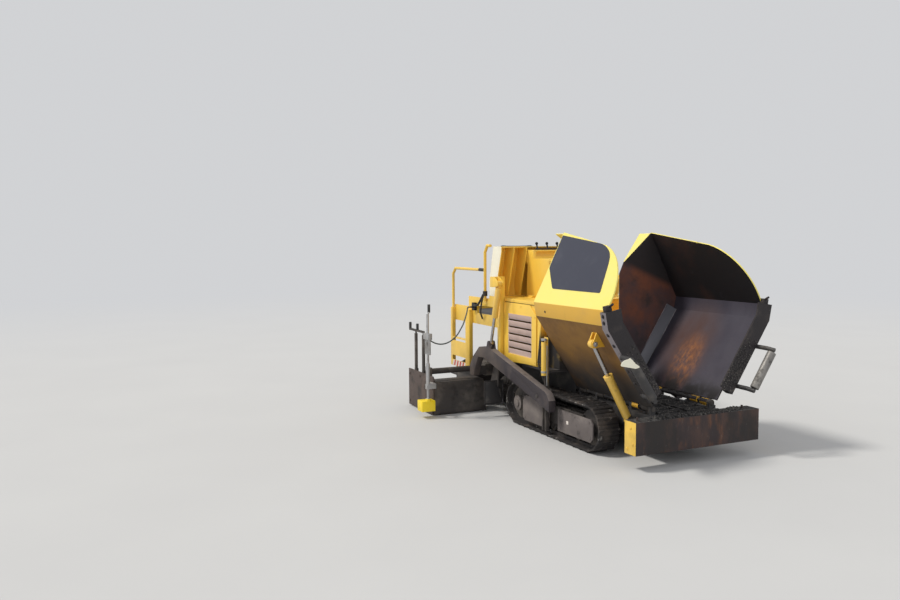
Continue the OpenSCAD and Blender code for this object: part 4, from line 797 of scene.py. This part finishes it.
bm = bmesh.new()
for k in (-1, 1):
    add_side_bolts(bm, k, BUMPER_BOLT_Y, BUMPER_BOLTS, r=0.010, h=0.006)
finish_mesh(bm, "bumper_bolts", "tractor", "yellow", 0.001)

bm = bmesh.new()
for i in range(BUMPER_CRUMBS):
    y = random.triangular(-0.50, 0.56, 0.10)
    x = random.uniform(1.535, 1.640)
    r = random.uniform(0.006, 0.017)
    add_crumb(bm, (x, y, BUMPER_TOP + r * 0.25), r)
finish_mesh(bm, "bumper_crumbs", "tractor", "grit")


# Asphalt stuck to the front lips' lower halves

for side, k in SIDES:
    floor_m = wing_plane(k, HINGE, SLOPE)
    bm = bmesh.new()
    for i in range(LIP_CRUMBS):
        s = random.triangular(0.16, 0.66, 0.22)
        h = random.uniform(-0.045, 0.078)
        r = random.uniform(0.004, 0.011)
        add_crumb(bm, at(floor_m, LIP_FACE, s, h), r)
    finish_mesh(bm, "lip_crumbs_" + side, "wing_" + side, "grit")


# Cream plate before the near push roller, on a boss of the roller's arm

GUARD_X, GUARD_T = 1.7415, 0.004
GUARD_BOSS, GUARD_BOSS_R = (1.710, -0.709, 0.853), 0.009
GUARD = [(-0.826, 0.840), (-0.830, 0.848), (-0.823, 0.866), (-0.799, 0.882), (-0.765, 0.888),
         (-0.748, 0.895), (-0.727, 0.880), (-0.706, 0.855), (-0.665, 0.830), (-0.663, 0.820),
         (-0.695, 0.813), (-0.740, 0.822)]
bm = bmesh.new()
add_cyl(bm, GUARD_BOSS, (GUARD_X + 0.001, *GUARD_BOSS[1:]), GUARD_BOSS_R, 12)
guard_m = Matrix(((0, 0, 1, GUARD_X), (1, 0, 0, 0), (0, 1, 0, 0), (0, 0, 0, 1)))
add_sheet(bm, guard_m, GUARD, 0, GUARD_T)
finish_mesh(bm, "roller_guard", "wing_right", "cream", 0.001)


# Tracks: bolts on every shoe and on the covers, and the small reflector on the right cover

SHOES, SHOE_BOLTS, SHOE_Y = 35, (0.25, 0.76), (0.482, 0.552)
SHOE_BOLT_R, SHOE_BOLT_H, SHOE_BOLT_SINK = 0.007, 0.005, 0.0105
SPROCKET_X, IDLER_X, TRACK_R = -0.185, 0.985, 0.205
RUN, ARC = IDLER_X - SPROCKET_X, math.pi * TRACK_R
LOOP = 2 * (RUN + ARC)
COVER_BOLT_Y = 0.612
COVER_BOLTS = ((0.585, 0.115), (0.585, 0.262), (1.045, 0.130), (1.030, 0.255),
               (-0.020, 0.100), (0.365, 0.110), (-0.020, 0.285), (0.365, 0.285))


def loop_point(s):
    """Place and outward direction on the track loop's outer side at length s."""
    s %= LOOP
    if s < RUN:
        return Vector((SPROCKET_X + s, 0, 0)), Vector((0, 0, -1))
    if s < RUN + ARC:
        a = (s - RUN) / TRACK_R
        out = Vector((math.sin(a), 0, -math.cos(a)))
        return Vector((IDLER_X, 0, TRACK_R)) + out * TRACK_R, out
    if s < 2 * RUN + ARC:
        return Vector((IDLER_X - (s - RUN - ARC), 0, 2 * TRACK_R)), Vector((0, 0, 1))
    a = (s - 2 * RUN - ARC) / TRACK_R
    out = Vector((-math.sin(a), 0, math.cos(a)))
    return Vector((SPROCKET_X, 0, TRACK_R)) + out * TRACK_R, out


for side, k in SIDES:
    bm = bmesh.new()
    for i in range(SHOES):
        for part in SHOE_BOLTS:
            p, out = loop_point((i + part) * LOOP / SHOES)
            for y in SHOE_Y:
                base = p - out * SHOE_BOLT_SINK + Vector((0, k * y, 0))
                add_cyl(bm, base, base + out * SHOE_BOLT_H, SHOE_BOLT_R, 6)
    finish_mesh(bm, "shoe_bolts_" + side, "tractor", "track")
    bm = bmesh.new()
    add_side_bolts(bm, k, COVER_BOLT_Y, COVER_BOLTS, r=0.009, h=0.004)
    finish_mesh(bm, "cover_bolts_" + side, "tractor", "cover")

bm = bmesh.new()
add_box(bm, (0.690, -0.6145, 0.176), (0.720, -0.6118, 0.206))
finish_mesh(bm, "cover_reflector", "tractor", "white", 0.001)


# Housing: screws in the panel and a black strip above it, painted shadow under the lid's edge

HOUSING_HALF = 0.600
PANEL_FACE = HOUSING_HALF + 0.0123
PANEL_SCREWS = ((-0.415, 0.61), (-0.415, 1.14), (0.155, 0.64), (0.155, 1.055), (-0.10, 1.135))

for side, k in SIDES:
    bm = bmesh.new()
    add_side_bolts(bm, k, PANEL_FACE, PANEL_SCREWS, r=0.006, h=0.004)
    finish_mesh(bm, "panel_screws_" + side, "tractor", "yellow")
    # Painted shadow under the lid's edge
    bm = bmesh.new()
    add_box(bm, (-0.428, k * 0.6002, 1.1625), (0.160, k * 0.6035, 1.1680))
    finish_mesh(bm, "lid_shadow_" + side, "tractor", "black")


# Ladder: red and white stripes on the low plate, black sleeve on the hand rail

STRIPE_X, STRIPE_Y, STRIPE_LO, STRIPE_HI = -1.577, 0.6403, 0.388, 0.447
STRIPES, STRIPE_WIDTH, STRIPE_SLANT = 9, 0.0345, 0.020
RAIL_Y, SLEEVE_Z, SLEEVE_R = 0.6168, 1.461, 0.0168

for side, k in SIDES:
    outward = Matrix(((1, 0, 0, 0), (0, 0, k, k * STRIPE_Y), (0, 1, 0, 0), (0, 0, 0, 1)))
    for colour, first in (("white", 0), ("red", 1)):
        bm = bmesh.new()
        for i in range(first, STRIPES, 2):
            x = STRIPE_X + i * STRIPE_WIDTH
            q = [(x, STRIPE_LO), (x + STRIPE_WIDTH, STRIPE_LO),
                 (x + STRIPE_WIDTH + STRIPE_SLANT, STRIPE_HI), (x + STRIPE_SLANT, STRIPE_HI)]
            add_sheet(bm, outward, q, -0.001, 0.0006)
        finish_mesh(bm, "ladder_" + colour + "_stripes_" + side, "tractor", colour)
    bm = bmesh.new()
    add_cyl(bm, (-0.955, k * RAIL_Y, SLEEVE_Z), (-0.835, k * RAIL_Y, SLEEVE_Z), SLEEVE_R)
    finish_mesh(bm, "rail_sleeve_" + side, "tractor", "rubber", 0.001)


# Levelling cylinders: hoses, thin rods and couplings beside them

LEVEL_X, LEVEL_Y = 0.395, 0.659
HOSE_R, COUPLING_R, THIN_ROD_R = 0.0065, 0.0275, 0.005

for side, k in SIDES:
    bm = bmesh.new()
    y = k * LEVEL_Y
    for dx, dy, top in ((-0.045, 0.004, 0.872), (-0.070, 0.012, 0.840)):
        add_tube(bm, [(LEVEL_X, y, top), (LEVEL_X + dx * 0.6, y + k * dy, top - 0.02),
                      (LEVEL_X + dx, y + k * dy, top - 0.11),
                      (LEVEL_X + dx * 1.1, y + k * dy, 0.66),
                      (LEVEL_X + dx * 0.8, y - k * 0.01, 0.56),
                      (0.372 + dx * 0.3, k * 0.634, 0.50)], HOSE_R)
    finish_mesh(bm, "levelling_hoses_" + side, "tractor", "rubber")
    bm = bmesh.new()
    for z in (0.872, 0.582):
        add_cyl(bm, (LEVEL_X, y, z), (LEVEL_X, y, z + 0.018), COUPLING_R)
    rod_y = y - k * 0.015
    add_cyl(bm, (0.420, rod_y, 0.47), (0.420, rod_y, 0.83), THIN_ROD_R, 8)
    finish_mesh(bm, "levelling_fittings_" + side, "tractor", "zinc", 0.001)


# Guard plate beside each auger, with a light rim of four bars

for side, k in SIDES:
    bm = bmesh.new()
    add_box(bm, (-0.603, k * 0.535, 0.130), (-0.597, k * 0.740, 0.352))
    finish_mesh(bm, "auger_guard_" + side, "tractor", "dark", 0.001)
    bm = bmesh.new()
    for y in (0.533, 0.738):
        add_box(bm, (-0.606, k * y, 0.125), (-0.594, k * (y + 0.010), 0.360))
    for z in (0.122, 0.350):
        add_box(bm, (-0.6055, k * 0.534, z), (-0.5945, k * 0.747, z + 0.010))
    finish_mesh(bm, "auger_guard_rim_" + side, "tractor", "worn", 0.001)


# Junction box: black cap and short hoses down from the platform's rail

CAP_X, CAP_Y, CAP_R = -0.830, -0.6168, 0.024
THICK_HOSE = [(-0.842, -0.634, 1.21), (-0.870, -0.650, 1.15), (-0.930, -0.652, 1.10),
              (-1.000, -0.650, 1.085), (-1.052, -0.628, 1.085)]
THIN_HOSE = [(-0.838, -0.636, 1.20), (-0.858, -0.648, 1.10), (-0.885, -0.640, 1.02),
             (-0.900, -0.612, 0.955)]
bm = bmesh.new()
add_cyl(bm, (CAP_X, CAP_Y, 1.195), (CAP_X, CAP_Y, 1.245), CAP_R)
add_tube(bm, THICK_HOSE, 0.011)
add_tube(bm, THIN_HOSE, 0.009)
finish_mesh(bm, "platform_hoses", "tractor", "rubber")


# Screed: bolts on the end plates

END_PLATE_BOLTS = ((-1.46, 0.06), (-1.46, 0.35), (-0.90, 0.06), (-1.00, 0.36), (-1.20, 0.06),
                   (-1.18, 0.36))
END_PLATE_Y = {"right": 1.200, "left": 1.350}

for side, k in SIDES:
    bm = bmesh.new()
    add_side_bolts(bm, k, END_PLATE_Y[side], END_PLATE_BOLTS, r=0.011, h=0.007)
    finish_mesh(bm, "end_plate_bolts_" + side, "extension_" + side, "gate")


# Cable from the mast's clamp to the junction box, with the route's points in millimetres

MAST_X, MAST_Y, END_Y, BOSS = -780, -1280, -661.3, (-1082, 1065)
# From the mast: how far back, how far towards the machine, and the height
SAG = ((60, 0, 830), (88, 8, 822), (108, 45, 787), (120, 100, 747), (123, 150, 725),
       (125, 200, 716), (129, 250, 720), (135, 300, 735), (146, 350, 762), (160, 400, 800),
       (177, 440, 845), (195, 480, 895), (208, 507, 945))
RISE = [(MAST_X - 222, END_Y - 88, 993), (MAST_X - 244, END_Y - 67, 1032),
        (MAST_X - 274, END_Y - 48, 1056), (BOSS[0] + 7, END_Y - 32, 1064),
        (BOSS[0], END_Y - 16, BOSS[1]), (BOSS[0], END_Y, BOSS[1])]
ROUTE = [(MAST_X - back, MAST_Y + inwards, z) for back, inwards, z in SAG] + RISE
CABLE_R = 0.007

pts = smooth_route([Vector(p) / 1000 for p in ROUTE], 2)
cu = bpy.data.curves.new("sensor_cord", "CURVE")
cu.dimensions = "3D"
cu.bevel_depth = CABLE_R
cu.bevel_resolution = 4
cu.use_fill_caps = True
spline = cu.splines.new("POLY")
spline.points.add(len(pts) - 1)
for q, p in zip(spline.points, pts):
    q.co = (*p, 1)
cu.materials.append(MAT["cable"])
cord = new_object("sensor_cord", cu)
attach(cord, "tractor")
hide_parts("sensor_cable")


# Studio: pale floor that fades into the backdrop, soft light

BACKDROP = (0.80, 0.81, 0.83, 1)
BACKDROP_LEVEL = 0.80
FLOOR_SIZE, FADE_FROM, FADE_TO = 80, 3.5, 22.0
FLOOR_DARK, FLOOR_LIGHT = (0.50, 0.50, 0.50, 1), (0.54, 0.54, 0.535, 1)


def stage_floor():
    bm = bmesh.new()
    bmesh.ops.create_grid(bm, x_segments=1, y_segments=1, size=FLOOR_SIZE)
    me = bpy.data.meshes.new("floor")
    bm.to_mesh(me)
    bm.free()
    o = new_object("floor", me)
    m = bpy.data.materials.new("floor_pale")
    m.use_nodes = True
    nt = m.node_tree
    bsdf = nt.nodes["Principled BSDF"]
    bsdf.inputs["Roughness"].default_value = 0.9
    colour = mixed(nt, "RGBA", noise(nt, 0.8, 4, 0.5), FLOOR_DARK, FLOOR_LIGHT)
    nt.links.new(colour, bsdf.inputs["Base Color"])
    glow = nt.nodes.new("ShaderNodeEmission")
    glow.inputs["Color"].default_value = BACKDROP
    glow.inputs["Strength"].default_value = BACKDROP_LEVEL
    blend = nt.nodes.new("ShaderNodeMixShader")
    fade = ramp(nt, distance(nt, (1, 1, 0)), FADE_FROM, FADE_TO)
    nt.links.new(fade, blend.inputs["Fac"])
    nt.links.new(bsdf.outputs["BSDF"], blend.inputs[1])
    nt.links.new(glow.outputs["Emission"], blend.inputs[2])
    nt.links.new(blend.outputs["Shader"], nt.nodes["Material Output"].inputs["Surface"])
    me.materials.append(m)


def sun(name, place, angle, power, colour):
    """A sun that shines from the place towards the origin."""
    d = bpy.data.lights.new(name, "SUN")
    d.energy = power
    d.color = colour
    d.angle = angle
    o = new_object(name, d)
    o.location = place
    o.rotation_mode = "QUATERNION"
    o.rotation_quaternion = (-Vector(place)).to_track_quat("-Z", "Y")


stage_floor()
world = bpy.data.worlds.new("studio")
bpy.context.scene.world = world
world.use_nodes = True
background = world.node_tree.nodes["Background"]
background.inputs["Color"].default_value = BACKDROP
background.inputs["Strength"].default_value = BACKDROP_LEVEL
sun("key", (-2.5, -6.0, 9.0), angle=0.18, power=2.3, colour=(1.0, 0.965, 0.90))
sun("front_fill", (7.0, -1.5, 3.5), angle=1.0, power=0.35, colour=(0.95, 0.97, 1.0))


# Camera of the photo

def photo_camera(place, yaw, pitch, roll, lens):
    yaw, pitch, roll = (math.radians(a) for a in (yaw, pitch, roll))
    ahead = Vector((-math.cos(yaw) * math.cos(pitch), math.sin(yaw) * math.cos(pitch),
                    -math.sin(pitch)))
    across = ahead.cross(Vector((0, 0, 1))).normalized()
    up = across.cross(ahead)
    right = across * math.cos(roll) + up * math.sin(roll)
    top = up * math.cos(roll) - across * math.sin(roll)
    data = bpy.data.cameras.new("photo_view")
    cam = new_object("photo_view", data)
    m = Matrix((right, top, -ahead)).transposed().to_4x4()
    m.translation = Vector(place)
    cam.matrix_world = m
    data.sensor_width = 36
    data.lens = lens
    data.clip_start, data.clip_end = 0.1, 200
    bpy.context.scene.camera = cam


photo_camera((6.505, -4.377, 1.75), yaw=24.64, pitch=4.13, roll=-0.31, lens=32.25)
bpy.context.scene.view_settings.view_transform = "Standard"
